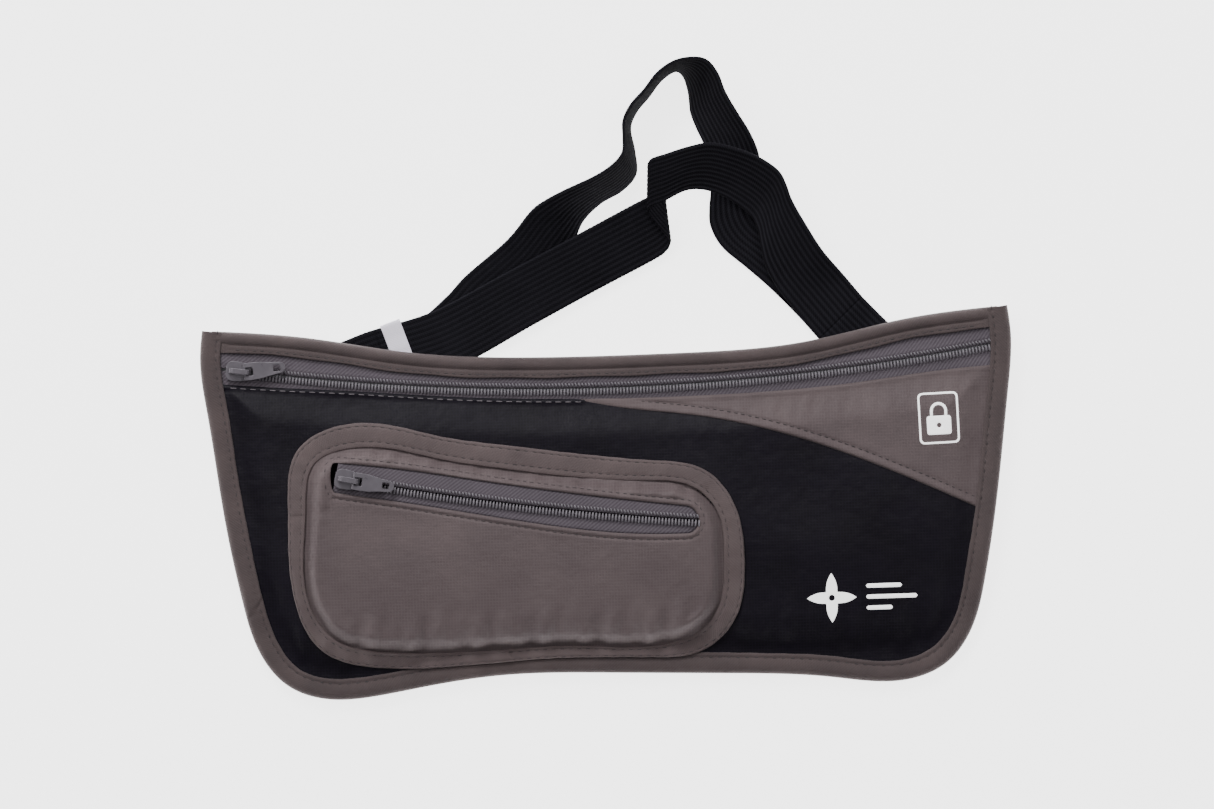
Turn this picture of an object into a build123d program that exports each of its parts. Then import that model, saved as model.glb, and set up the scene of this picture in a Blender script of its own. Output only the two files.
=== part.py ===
from build123d import *
import os
from math import asin, atan2, cos, degrees, hypot, radians, sin, sqrt

os.makedirs("parts", exist_ok=True)

# Flat waist pouch lying on its back: front up (+Z), top edge towards +Y, width along X.
Y_MID = 1.3  # puts the middle of the whole outline (pouch and looped strap) on the origin

# Fabric stack, heights above the table
STRAP_W, STRAP_T = 22.0, 1.2
CLOTH, LINER = 0.5, 0.3
BACK_Z = 5.4
LINER_Z = BACK_Z + CLOTH
TAPE_Z, TAPE_T = 7.2, 0.5
COIL_H, COIL_IN, COIL_OUT = 1.4, 0.45, 2.3
SEAM_Z = TAPE_Z + TAPE_T + 0.15
POUCH_RISE, POUCH_SLOPE = 3.45, 14.0
POCKET_RISE, POCKET_SLOPE = 4.95, 8.0
BIND_Z0, BIND_Z1, BIND_W = 4.7, 9.3, 7.6
LIP_LOW, LIP_HIGH, BIND_SKIN = 5.3, 8.6, 1.0
POCKET_BIND_T = 1.25

# Zips: number 3 coil, both run on true arcs
MAIN_R, MAIN_LOW = 858.0, -3.1
MAIN_START, MAIN_END = -134.5, 137.0
POCKET_R = 1000.0
POCKET_A, POCKET_B = (-98.0, -32.3), (31.6, -51.8)


def p(x, y):
    return (x, y - Y_MID)


def smooth(t):
    t = min(max(t, 0.0), 1.0)
    return t * t * (3 - 2 * t)


# Outline of the pouch, symmetrical kidney shape
TOP_EDGE = [p(-146, 22.5), p(-109, 18.9), p(-72, 12.4), p(-27, 9.1), p(27, 9.0), p(72, 11.6)]
TOP_EDGE += [p(109, 18.8), p(146, 22.5)]
SIDE_EDGE = [p(146, 22.5), p(147, 13), p(145.4, -8), p(140.3, -46), p(135, -76), p(130, -93.5)]
SIDE_EDGE += [p(120, -106.6)]
SIDE_EDGE += [p(104, -112.4), p(78, -110.4), p(42, -107.9), p(-4, -106.2), p(-40, -105.9), p(-68, -109)]
SIDE_EDGE += [p(-86, -111.9), p(-104, -112.7), p(-119, -107.4), p(-129.3, -94.3), p(-134.6, -76)]
SIDE_EDGE += [p(-140, -46)]
SIDE_EDGE += [p(-145, -8), p(-147, 13), p(-146, 22.5)]

# Seam between the lower zip tape and the front panel, edge of the contrast wedge
SEAM = [p(-145, 3.4), p(-118, 0.9), p(-97, -0.7), p(-60, -4.0), p(-12, -6.5), p(38, -6.6), p(92, -3.6)]
SEAM += [p(118, -0.6), p(146, 1.4)]
WEDGE = [p(-12, -6.5), p(6, -10.4), p(30, -13.7), p(69.6, -23.5), p(101.3, -35.9), p(131.7, -50)]
WEDGE += [p(146, -57)]

# Patch pocket, outer and inner edge of its binding
POCKET_OUT = [p(-116.7, -45), p(-113, -22.5), p(-95, -13), p(-63.7, -17.7), p(-26.6, -24), p(13.6, -29.3)]
POCKET_OUT += [p(35, -34), p(45.5, -48), p(47.8, -67), p(44.4, -87), p(31.5, -99.2), p(11, -101)]
POCKET_OUT += [p(-34, -100.7)]
POCKET_OUT += [p(-83, -102), p(-106, -95), p(-116, -73)]
POCKET_IN = [p(-110.3, -46), p(-106.6, -27.4), p(-92, -21.8), p(-64, -26.1), p(-27, -32.8), p(11, -36.8)]
POCKET_IN += [p(29, -39.4), p(38.6, -49), p(40.2, -66), p(37.1, -85), p(24, -94.8), p(-9, -96.2)]
POCKET_IN += [p(-49, -96.8)]
POCKET_IN += [p(-83, -96), p(-101, -91), p(-110, -78)]
WINDOW_TOP = [p(-100, -26.7), p(-78, -29.5), p(-47, -34.9), p(-7, -41.6), p(32, -47)]
WINDOW_LOW = [p(31, -56.3), p(12.5, -56), p(-27.5, -50.9), p(-64.5, -43.8), p(-102.4, -37)]


OUTLINE_CURVES = [Edge.make_spline([Vector(x, y, 0) for x, y in side]) for side in (TOP_EDGE, SIDE_EDGE)]
POCKET_CURVES = [Edge.make_spline([Vector(x, y, 0) for x, y in POCKET_OUT], periodic=True)]

with BuildSketch() as outline:
    with BuildLine():
        Spline(*TOP_EDGE)
        Spline(*SIDE_EDGE)
    make_face()


def inside_distance(x, y, loop):
    # distance from the loop, negative outside it
    best, inside = 1e9, False
    for a, b in zip(loop, loop[1:] + loop[:1]):
        ex, ey = b[0] - a[0], b[1] - a[1]
        t = ((x - a[0]) * ex + (y - a[1]) * ey) / (ex * ex + ey * ey + 1e-12)
        t = min(max(t, 0.0), 1.0)
        best = min(best, hypot(x - a[0] - t * ex, y - a[1] - t * ey))
        if (a[1] > y) != (b[1] > y) and x < a[0] + (y - a[1]) * ex / ey:
            inside = not inside
    return best if inside else -best


def moved_edge(curves, amount):
    # the closed outline moved outwards (inwards when negative), redrawn smooth with the same corners
    loop = [tuple(curve.position_at(i / 200))[:2] for curve in curves for i in range(200)]
    area = sum(a[0] * b[1] - b[0] * a[1] for a, b in zip(loop, loop[1:] + loop[:1]))
    out = amount if area > 0 else -amount

    def moved(curve, t):
        at, way = curve.position_at(t), curve.tangent_at(t)
        return at.X + way.Y * out, at.Y - way.X * out

    if len(curves) == 1:
        ring = [Vector(*moved(curves[0], i / 48), 0) for i in range(48)]
        return Face(Wire([Edge.make_spline(ring, periodic=True)]))
    sides = []
    for c, curve in enumerate(curves):
        # halve down to the place where this side meets each neighbour once both are moved
        ends = []
        for other, near in ((curves[c - 1], 0.0), (curves[(c + 1) % len(curves)], 1.0)):
            marks = [tuple(other.position_at(i / 400))[:2] for i in range(401)]
            short, kept = near, 0.5
            for _ in range(30):
                t = (short + kept) / 2
                x, y = moved(curve, t)
                gap = min(hypot(x - q[0], y - q[1]) for q in marks)
                short, kept = (t, kept) if gap < abs(amount) else (short, t)
            ends.append(kept)
        count = max(4, int(curve.length / 9.0))
        sides.append([moved(curve, ends[0] + (ends[1] - ends[0]) * i / count) for i in range(count + 1)])
    for c in range(len(sides)):
        a, b = sides[c - 1][-1], sides[c][0]
        sides[c - 1][-1] = sides[c][0] = ((a[0] + b[0]) / 2, (a[1] + b[1]) / 2)
    return Face(Wire([Edge.make_spline([Vector(x, y, 0) for x, y in side]) for side in sides]))


with BuildSketch() as inner_outline:
    add(moved_edge(OUTLINE_CURVES, -BIND_W))

with BuildSketch() as body_field:
    # everything below the lower tape seam, as a half plane in effect
    with BuildLine():
        Spline(*SEAM)
        Polyline(SEAM[-1], p(160, -150), p(-160, -150), SEAM[0])
    make_face()

with BuildSketch() as mound:
    add(inner_outline.sketch)
    add(body_field.sketch, mode=Mode.INTERSECT)

with BuildSketch() as pocket_outer:
    with BuildLine():
        Spline(*POCKET_OUT, periodic=True)
    make_face()

with BuildSketch() as pocket_inner:
    with BuildLine():
        Spline(*POCKET_IN, periodic=True)
    make_face()


def loop_points(sketch, step):
    wire = sketch.face().outer_wire()
    count = int(wire.length / step)
    return [tuple(wire.position_at(i / count))[:2] for i in range(count)]


MOUND_LOOP = loop_points(mound.sketch, 4.0)
POCKET_LOOP = loop_points(pocket_inner.sketch, 3.0)


def front_rise(x, y):
    return POUCH_RISE * smooth(inside_distance(x, y, MOUND_LOOP) / POUCH_SLOPE)


def pocket_rise(x, y):
    return front_rise(x, y) + POCKET_RISE * smooth(inside_distance(x, y, POCKET_LOOP) / POCKET_SLOPE)


def field_face(rise, base, x0, x1, y0, y1, step):
    nx, ny = int((x1 - x0) / step), int((y1 - y0) / step)
    rows = []
    for i in range(nx + 1):
        x = x0 + (x1 - x0) * i / nx
        rows.append([Vector(x, y0 + (y1 - y0) * j / ny, 0) for j in range(ny + 1)])
    grid = [[Vector(v.X, v.Y, base + rise(v.X, v.Y)) for v in row] for row in rows]
    return Face.make_surface_from_array_of_points(grid, tol=0.02, min_deg=3, max_deg=3)


FRONT_FACE = field_face(front_rise, 0.0, -150, 150, -118, 26, 4.0)
POCKET_FACE = field_face(pocket_rise, 0.0, -121, 53, -108, -8, 3.0)


with BuildSketch() as binding_ring:
    add(outline.sketch)
    add(inner_outline.sketch, mode=Mode.SUBTRACT)

with BuildSketch() as panel_outline:
    add(moved_edge(OUTLINE_CURVES, -BIND_SKIN))

with BuildSketch() as side_zone:
    # the side and bottom binding: all but the stretch along the top edge
    with BuildLine():
        Polyline(p(-139.2, 40), p(-139.2, 13.5), p(-100, -10), p(100, -10), p(139, 13.5), p(139, 40))
        Polyline(p(139, 40), p(170, 40), p(170, -140))
        Polyline(p(170, -140), p(-170, -140), p(-170, 40), p(-139.2, 40))
    make_face()

with BuildSketch() as wedge_field:
    with BuildLine():
        Spline(*WEDGE)
        Polyline(WEDGE[-1], p(150, 40), p(-12, 40), WEDGE[0])
    make_face()


# ---- back of the pouch -------------------------------------------------------------------
with BuildPart() as back_panel:
    with BuildSketch(Plane.XY.offset(BACK_Z)):
        add(panel_outline.sketch)
    extrude(amount=CLOTH)
back_panel.part.label = "back_panel"

with BuildPart() as rfid_liner_back:
    with BuildSketch(Plane.XY.offset(LINER_Z)):
        add(moved_edge(OUTLINE_CURVES, -BIND_SKIN - 1))
    extrude(amount=LINER)
rfid_liner_back.part.label = "rfid_liner_back"

# ---- front of the pouch ------------------------------------------------------------------
with BuildPart() as front_panel:
    extrude(to_extrude=FRONT_FACE.moved(Location((0, 0, SEAM_Z))), amount=CLOTH, dir=(0, 0, 1))
    with BuildSketch():
        add(panel_outline.sketch)
        add(body_field.sketch, mode=Mode.INTERSECT)
        add(wedge_field.sketch, mode=Mode.SUBTRACT)
    extrude(amount=30, mode=Mode.INTERSECT)
front_panel.part.label = "front_panel"

with BuildPart() as accent_panel:
    extrude(to_extrude=FRONT_FACE.moved(Location((0, 0, SEAM_Z))), amount=CLOTH, dir=(0, 0, 1))
    with BuildSketch():
        add(panel_outline.sketch)
        add(body_field.sketch, mode=Mode.INTERSECT)
        add(wedge_field.sketch, mode=Mode.INTERSECT)
    extrude(amount=30, mode=Mode.INTERSECT)
accent_panel.part.label = "accent_panel"

with BuildPart() as rfid_liner_front:
    under_cloth = FRONT_FACE.moved(Location((0, 0, SEAM_Z - 0.2 - LINER)))
    extrude(to_extrude=under_cloth, amount=LINER, dir=(0, 0, 1))
    with BuildSketch() as liner_shape:
        add(moved_edge(OUTLINE_CURVES, -BIND_SKIN - 1))
        add(body_field.sketch.moved(Location((0, -6, 0))), mode=Mode.INTERSECT)
    extrude(amount=30, mode=Mode.INTERSECT)
rfid_liner_front.part.label = "rfid_liner_front"

# ---- bindings ----------------------------------------------------------------------------
with BuildPart() as top_binding:
    with BuildSketch(Plane.XY.offset(BIND_Z0)):
        add(binding_ring.sketch)
        add(side_zone.sketch, mode=Mode.SUBTRACT)
    extrude(amount=BIND_Z1 - BIND_Z0)
    with BuildSketch(Plane.XY.offset(LIP_LOW)):
        add(moved_edge(OUTLINE_CURVES, -BIND_SKIN + 0.05))
    extrude(amount=LIP_HIGH - LIP_LOW, mode=Mode.SUBTRACT)
top_binding.part.label = "top_binding"

with BuildPart() as edge_binding:
    with BuildSketch(Plane.XY.offset(BIND_Z0)):
        add(binding_ring.sketch)
        add(side_zone.sketch, mode=Mode.INTERSECT)
    extrude(amount=BIND_Z1 - BIND_Z0)
    with BuildSketch(Plane.XY.offset(LIP_LOW)):
        add(moved_edge(OUTLINE_CURVES, -BIND_SKIN + 0.05))
    extrude(amount=LIP_HIGH - LIP_LOW, mode=Mode.SUBTRACT)
    # the pocket's lower binding lies on the front panel inside this edge
    with BuildSketch(Plane.XY.offset(LIP_HIGH)):
        add(moved_edge(POCKET_CURVES, 0.15))
    extrude(amount=3, mode=Mode.SUBTRACT)
edge_binding.part.label = "edge_binding"

# ---- main zip ----------------------------------------------------------------------------
MAIN_C = (0, MAIN_LOW + MAIN_R - Y_MID)


def chain_angle(x):
    return degrees(asin((x - MAIN_C[0]) / MAIN_R)) - 90


def arc_band(centre, r0, r1, a0, a1):
    # flat band between two radii and two directions seen from the zip's centre
    points = []
    for r, a in ((r0, a0), (r0, (a0 + a1) / 2), (r0, a1), (r1, a1), (r1, (a0 + a1) / 2), (r1, a0)):
        points.append((centre[0] + r * cos(radians(a)), centre[1] + r * sin(radians(a))))
    with BuildSketch() as band:
        with BuildLine():
            ThreePointArc(points[0], points[1], points[2])
            Line(points[2], points[3])
            ThreePointArc(points[3], points[4], points[5])
            Line(points[5], points[0])
        make_face()
    return band.sketch


MAIN_A0, MAIN_A1 = chain_angle(-149), chain_angle(149)
with BuildPart() as main_zip_tape_upper:
    with BuildSketch(Plane.XY.offset(TAPE_Z)):
        add(arc_band(MAIN_C, MAIN_R - 20, MAIN_R - 0.5, MAIN_A0, MAIN_A1))
        add(panel_outline.sketch, mode=Mode.INTERSECT)
    extrude(amount=TAPE_T)
main_zip_tape_upper.part.label = "main_zip_tape_upper"

with BuildPart() as main_zip_tape_lower:
    with BuildSketch(Plane.XY.offset(TAPE_Z)):
        add(arc_band(MAIN_C, MAIN_R + 0.5, MAIN_R + 18, MAIN_A0, MAIN_A1))
        add(panel_outline.sketch, mode=Mode.INTERSECT)
        add(body_field.sketch.moved(Location((0, -3, 0))), mode=Mode.SUBTRACT)
    extrude(amount=TAPE_T)
main_zip_tape_lower.part.label = "main_zip_tape_lower"

COIL_A0, COIL_A1 = chain_angle(-132.2), chain_angle(138.6)
with BuildPart() as main_zip_coil_upper:
    with BuildSketch(Plane.XY.offset(TAPE_Z + TAPE_T)):
        add(arc_band(MAIN_C, MAIN_R - COIL_OUT, MAIN_R - COIL_IN, COIL_A0, COIL_A1))
    extrude(amount=COIL_H)
main_zip_coil_upper.part.label = "main_zip_coil_upper"

with BuildPart() as main_zip_coil_lower:
    with BuildSketch(Plane.XY.offset(TAPE_Z + TAPE_T)):
        add(arc_band(MAIN_C, MAIN_R + COIL_IN, MAIN_R + COIL_OUT, COIL_A0, COIL_A1))
    extrude(amount=COIL_H)
main_zip_coil_lower.part.label = "main_zip_coil_lower"

# ---- zip slider, drawn once: u along the chain, v across it, heights from the tape ----------
PLATE_T, RUNNER_L, RUNNER_W = 0.7, 9.0, 7.2
PIN_U, PIN_H, PULL_L = 6.9, 0.85, 14.5
FLANGE_H = 0.7


def runner(place, tape):
    top = tape + TAPE_T + COIL_H + 0.12
    low = tape - 0.12 - PLATE_T
    with BuildPart() as slide:
        for base in (low, top):
            with BuildSketch(place.offset(base)):
                with BuildLine():
                    Polyline((0, -2.6), (1.6, -RUNNER_W / 2), (4.6, -RUNNER_W / 2), (RUNNER_L, -3.1))
                    Line((RUNNER_L, -3.1), (RUNNER_L, 3.1))
                    Polyline((RUNNER_L, 3.1), (4.6, RUNNER_W / 2), (1.6, RUNNER_W / 2), (0, 2.6))
                    Line((0, 2.6), (0, -2.6))
                make_face()
            extrude(amount=PLATE_T)
        with BuildSketch(place.offset(low)):
            with Locations((1.2, 0)):
                Rectangle(2.2, 0.6)
        extrude(amount=top - low)
        # side flanges turned down over the coil, clear of the cloth's folded edge
        for side in (-1, 1):
            with BuildSketch(place.offset(top - FLANGE_H)):
                with Locations((4.4, side * 2.85)):
                    Rectangle(5.6, 0.6)
            extrude(amount=FLANGE_H)
        # bridge that holds the pull
        foot = place.origin + place.z_dir * (top + PLATE_T)
        face = Plane(origin=foot, x_dir=place.x_dir, z_dir=-place.y_dir)
        with BuildSketch(face):
            with BuildLine():
                Polyline((1.0, -0.1), (1.4, 2.0), (2.4, 2.6), (7.6, 2.6), (8.5, 1.9), (8.8, -0.1))
                Polyline((8.8, -0.1), (7.9, -0.1), (7.7, 1.4), (7.2, 1.7), (2.8, 1.7))
                Polyline((2.8, 1.7), (2.2, 1.3), (2.0, -0.1))
                Line((2.0, -0.1), (1.0, -0.1))
            make_face()
        extrude(amount=0.95, both=True)
    return slide.part


def pull(place, tape):
    # plate with a rounded end and a small hole, hooked through the bridge by a round bar
    level = tape + TAPE_T + COIL_H + 0.12 + PLATE_T + PIN_H
    with BuildPart() as tab:
        with BuildSketch(place.offset(level - 0.5)):
            with BuildLine():
                Polyline((PIN_U, -3.1), (PIN_U + 5.5, -3.1), (PIN_U + PULL_L - 0.8, -2.0))
                ThreePointArc(
                    (PIN_U + PULL_L - 0.8, -2.0), (PIN_U + PULL_L + 0.3, 0), (PIN_U + PULL_L - 0.8, 2.0)
                )
                Polyline((PIN_U + PULL_L - 0.8, 2.0), (PIN_U + 5.5, 3.1), (PIN_U, 3.1), (PIN_U, -3.1))
            make_face()
            with Locations((PIN_U + 1.2, 0)):
                Rectangle(3.6, 3.0, mode=Mode.SUBTRACT)
            with Locations((PIN_U + PULL_L - 2.8, 0)):
                Rectangle(2.5, 2.3, mode=Mode.SUBTRACT)
        extrude(amount=1.0)
        end = place.from_local_coords((PIN_U, -3.1, level))
        bar = Plane(origin=end, x_dir=place.x_dir, z_dir=place.y_dir)
        with BuildSketch(bar):
            Circle(0.5)
        extrude(amount=6.2)
    return tab.part


def zip_plane(centre, radius, angle, turn):
    a = radians(angle)
    at = (centre[0] + radius * cos(a), centre[1] + radius * sin(a), 0)
    t = a + radians(90 + turn)
    return Plane(origin=at, x_dir=(cos(t), sin(t), 0), z_dir=(0, 0, 1))


MAIN_PLACE = zip_plane(MAIN_C, MAIN_R, chain_angle(-137.6), 1.0)
with BuildPart() as main_zip_slider:
    add(runner(MAIN_PLACE, TAPE_Z))
main_zip_slider.part.label = "main_zip_slider"


def turned(place, angle):
    # same plane, turned about the pull's bar
    pin = place.from_local_coords((PIN_U, 0, 0))
    t = atan2(place.x_dir.Y, place.x_dir.X) + radians(angle)
    back = Vector(cos(t), sin(t), 0)
    return Plane(origin=pin - back * PIN_U, x_dir=back, z_dir=(0, 0, 1))


with BuildPart() as main_zip_pull:
    add(pull(turned(MAIN_PLACE, 15), TAPE_Z))
main_zip_pull.part.label = "main_zip_pull"

# ---- patch pocket ------------------------------------------------------------------------
POCKET_Z = SEAM_Z + CLOTH + 0.25
with BuildSketch() as window:
    with BuildLine():
        Spline(*WINDOW_TOP)
        Line(WINDOW_TOP[-1], WINDOW_LOW[0])
        Spline(*WINDOW_LOW)
        Line(WINDOW_LOW[-1], WINDOW_TOP[0])
    make_face()

with BuildPart() as pocket_panel:
    extrude(to_extrude=POCKET_FACE.moved(Location((0, 0, POCKET_Z))), amount=CLOTH, dir=(0, 0, 1))
    with BuildSketch():
        add(moved_edge(POCKET_CURVES, -1.0))
        add(window.sketch, mode=Mode.SUBTRACT)
    extrude(amount=40, mode=Mode.INTERSECT)
pocket_panel.part.label = "pocket_panel"

with BuildPart() as pocket_binding:
    base = FRONT_FACE.moved(Location((0, 0, POCKET_Z + CLOTH + 0.28)))
    extrude(to_extrude=base, amount=POCKET_BIND_T, dir=(0, 0, 1))
    with BuildSketch():
        add(pocket_outer.sketch)
        add(pocket_inner.sketch, mode=Mode.SUBTRACT)
    extrude(amount=40, mode=Mode.INTERSECT)
pocket_binding.part.label = "pocket_binding"

PTAPE_Z = POCKET_Z + POUCH_RISE + POCKET_RISE - TAPE_T - 0.05
chord = Vector(POCKET_B[0] - POCKET_A[0], POCKET_B[1] - POCKET_A[1])
half = chord.length / 2
sag = POCKET_R - sqrt(POCKET_R**2 - half**2)
up = Vector(-chord.Y, chord.X) / chord.length
mid = Vector((POCKET_A[0] + POCKET_B[0]) / 2, (POCKET_A[1] + POCKET_B[1]) / 2 - Y_MID)
POCKET_C = tuple(mid + up * (POCKET_R - sag))[:2]
SLOPE = degrees(atan2(chord.Y, chord.X))


def pocket_angle(along):
    return SLOPE - 90 + degrees(asin(along / POCKET_R))


with BuildPart() as pocket_zip_tape_upper:
    with BuildSketch(Plane.XY.offset(PTAPE_Z)):
        add(arc_band(POCKET_C, POCKET_R - 7.4, POCKET_R - 0.5, pocket_angle(-68), pocket_angle(67.5)))
        add(window.sketch, mode=Mode.INTERSECT)
    extrude(amount=TAPE_T)
pocket_zip_tape_upper.part.label = "pocket_zip_tape_upper"

with BuildPart() as pocket_zip_tape_lower:
    with BuildSketch(Plane.XY.offset(PTAPE_Z)):
        add(arc_band(POCKET_C, POCKET_R + 0.5, POCKET_R + 8.6, pocket_angle(-68), pocket_angle(67.5)))
        add(window.sketch, mode=Mode.INTERSECT)
    extrude(amount=TAPE_T)
pocket_zip_tape_lower.part.label = "pocket_zip_tape_lower"

PCOIL_A0, PCOIL_A1 = pocket_angle(-61.6), pocket_angle(65.6)
with BuildPart() as pocket_zip_coil_upper:
    with BuildSketch(Plane.XY.offset(PTAPE_Z + TAPE_T)):
        add(arc_band(POCKET_C, POCKET_R - COIL_OUT, POCKET_R - COIL_IN, PCOIL_A0, PCOIL_A1))
    extrude(amount=COIL_H)
pocket_zip_coil_upper.part.label = "pocket_zip_coil_upper"

with BuildPart() as pocket_zip_coil_lower:
    with BuildSketch(Plane.XY.offset(PTAPE_Z + TAPE_T)):
        add(arc_band(POCKET_C, POCKET_R + COIL_IN, POCKET_R + COIL_OUT, PCOIL_A0, PCOIL_A1))
    extrude(amount=COIL_H)
pocket_zip_coil_lower.part.label = "pocket_zip_coil_lower"

POCKET_PLACE = zip_plane(POCKET_C, POCKET_R, pocket_angle(-66.6), 0.4)
with BuildPart() as pocket_zip_slider:
    add(runner(POCKET_PLACE, PTAPE_Z))
pocket_zip_slider.part.label = "pocket_zip_slider"

with BuildPart() as pocket_zip_pull:
    add(pull(turned(POCKET_PLACE, 1.5), PTAPE_Z))
pocket_zip_pull.part.label = "pocket_zip_pull"

# ---- side release buckle under the left side ------------------------------------------------
# s runs from the left side of the pouch up and right along the strap
LEFT_TURN, LEFT_START = 19.0, p(-140, -10)
LEFT_RUN = (cos(radians(LEFT_TURN)), sin(radians(LEFT_TURN)), 0)
BUCKLE = Plane(origin=(LEFT_START[0], LEFT_START[1], 0), x_dir=LEFT_RUN, z_dir=(0, 0, 1))
BUCKLE_SIDE = Plane(origin=BUCKLE.origin, x_dir=BUCKLE.x_dir, z_dir=-BUCKLE.y_dir)
TAB_S0, SOCKET_S0, SOCKET_S1, PLUG_S1 = 1.0, 9.5, 31.5, 44.5
BUCKLE_W, BUCKLE_T = 28.0, 4.6

BAR_S = SOCKET_S0 + 3.2
with BuildPart() as buckle_tab:
    # webbing folded round the socket's bar, both ends under the side binding
    with BuildSketch(BUCKLE_SIDE):
        with BuildLine():
            Polyline((TAB_S0, 3.3), (4, 3.25), (BAR_S - 3.4, 3.25), (BAR_S + 1.4, 3.25), (BAR_S + 1.5, 2.3))
            Polyline((BAR_S + 1.5, 2.3), (BAR_S + 1.4, 1.25), (BAR_S - 3.4, 1.25), (4, 2.0))
            Polyline((4, 2.0), (TAB_S0, 2.1), (TAB_S0, 0.9))
            Polyline((TAB_S0, 0.9), (4, 0.8), (BAR_S - 3.4, 0.1), (BAR_S + 1.5, 0.1), (BAR_S + 2.7, 1.0))
            Polyline((BAR_S + 2.7, 1.0), (BAR_S + 2.7, 3.6), (BAR_S + 1.5, 4.45))
            Polyline((BAR_S + 1.5, 4.45), (BAR_S - 3.4, 4.45), (4, 4.5))
            Polyline((4, 4.5), (TAB_S0, 4.6), (TAB_S0, 3.3))
        make_face()
    extrude(amount=STRAP_W / 2, both=True)
buckle_tab.part.label = "buckle_tab"

with BuildPart() as buckle_socket:
    with BuildSketch(BUCKLE):
        with Locations(((SOCKET_S0 + SOCKET_S1) / 2, 0)):
            RectangleRounded(SOCKET_S1 - SOCKET_S0, BUCKLE_W, 2.5)
    extrude(amount=BUCKLE_T)
    # slot for the tab, then the bar thinned so that the tab lies flush round it
    with BuildSketch(BUCKLE):
        with Locations((BAR_S + 3.0, 0)):
            Rectangle(3.6, STRAP_W + 1.0)
    extrude(amount=BUCKLE_T, mode=Mode.SUBTRACT)
    for low, high in ((0, 1.35), (3.15, BUCKLE_T)):
        with BuildSketch(BUCKLE.offset(low)):
            with Locations((BAR_S - 1.8, 0)):
                Rectangle(6.1, STRAP_W + 1.0)
        extrude(amount=high - low, mode=Mode.SUBTRACT)
    # chamber open towards the plug, and the two side windows for the prongs
    with BuildSketch(BUCKLE.offset(1.0)):
        with Locations((SOCKET_S1 - 6.5, 0)):
            Rectangle(14.0, 21.0)
    extrude(amount=2.6, mode=Mode.SUBTRACT)
    with BuildSketch(BUCKLE.offset(1.0)):
        with Locations((SOCKET_S1 - 8.2, 0)):
            Rectangle(7.6, BUCKLE_W + 2)
    extrude(amount=2.6, mode=Mode.SUBTRACT)
buckle_socket.part.label = "buckle_socket"

with BuildPart() as buckle_plug:
    with BuildSketch(BUCKLE):
        with Locations(((SOCKET_S1 + PLUG_S1) / 2 + 0.15, 0)):
            RectangleRounded(PLUG_S1 - SOCKET_S1 - 0.3, BUCKLE_W, 2.0)
    extrude(amount=BUCKLE_T)
    with BuildSketch(BUCKLE):
        with Locations((PLUG_S1 - 5.6, 0)):
            Rectangle(3.2, STRAP_W + 1.0)
    extrude(amount=BUCKLE_T, mode=Mode.SUBTRACT)
    # bar thinned for the webbing
    for low, high in ((0, 1.6), (3.0, BUCKLE_T)):
        with BuildSketch(BUCKLE.offset(low)):
            with Locations((PLUG_S1 - 1.9, 0)):
                Rectangle(4.4, STRAP_W + 1.0)
        extrude(amount=high - low, mode=Mode.SUBTRACT)
    # centre tongue
    with BuildSketch(BUCKLE.offset(1.2)):
        with Locations((SOCKET_S1 - 5.5, 0)):
            Rectangle(12, 5.0)
    extrude(amount=2.2)
buckle_plug.part.label = "buckle_plug"


def prong(side):
    # springy arm with the catch that shows in the socket's side window
    with BuildPart() as arm:
        with BuildSketch(BUCKLE.offset(1.2)):
            with Locations((SOCKET_S1 - 6.0, side * 8.4)):
                Rectangle(12.6, 2.6)
            with BuildLine():
                Polyline((SOCKET_S1 - 11.6, side * 9.4), (SOCKET_S1 - 10.2, side * 12.8))
                Polyline((SOCKET_S1 - 10.2, side * 12.8), (SOCKET_S1 - 5.8, side * 13.2))
                Polyline((SOCKET_S1 - 5.8, side * 13.2), (SOCKET_S1 - 5.4, side * 9.4))
                Line((SOCKET_S1 - 5.4, side * 9.4), (SOCKET_S1 - 11.6, side * 9.4))
            make_face()
        extrude(amount=2.2)
    return arm.part


with BuildPart() as buckle_prong_upper:
    add(prong(1))
    add(buckle_plug.part, mode=Mode.SUBTRACT)
buckle_prong_upper.part.label = "buckle_prong_upper"

with BuildPart() as buckle_prong_lower:
    add(prong(-1))
    add(buckle_plug.part, mode=Mode.SUBTRACT)
buckle_prong_lower.part.label = "buckle_prong_lower"

PLUG_BAR = PLUG_S1 - 2.0
with BuildPart() as strap_plug_loop:
    # the strap's turn round the plug's bar
    with BuildSketch(BUCKLE_SIDE):
        with BuildLine():
            Polyline((PLUG_BAR + 2.2, 1.55), (PLUG_BAR - 2.2, 1.55), (PLUG_BAR - 2.2, 3.05))
            Polyline((PLUG_BAR - 2.2, 3.05), (PLUG_BAR + 2.2, 3.05), (PLUG_BAR + 2.2, 4.25))
            Polyline((PLUG_BAR + 2.2, 4.25), (PLUG_BAR - 2.2, 4.25), (PLUG_BAR - 3.4, 3.2))
            Polyline((PLUG_BAR - 3.4, 3.2), (PLUG_BAR - 3.4, 1.4), (PLUG_BAR - 2.2, 0.35))
            Polyline((PLUG_BAR - 2.2, 0.35), (PLUG_BAR + 2.2, 0.35), (PLUG_BAR + 2.2, 1.55))
        make_face()
    extrude(amount=STRAP_W / 2, both=True)
strap_plug_loop.part.label = "strap_plug_loop"

# ---- strap: one long webbing drawn by its two edges ------------------------------------------
GLIDE_START, GLIDE_TURN = p(85.8, 19.7), -47.0
GLIDE_R, GLIDE_L, GLIDE_W = 32.0, 16.0, 28.0
RIGHT_RUN = (cos(radians(GLIDE_TURN)), sin(radians(GLIDE_TURN)), 0)
GLIDE = Plane(origin=(GLIDE_START[0], GLIDE_START[1], 0), x_dir=RIGHT_RUN, z_dir=(0, 0, 1))


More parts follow.
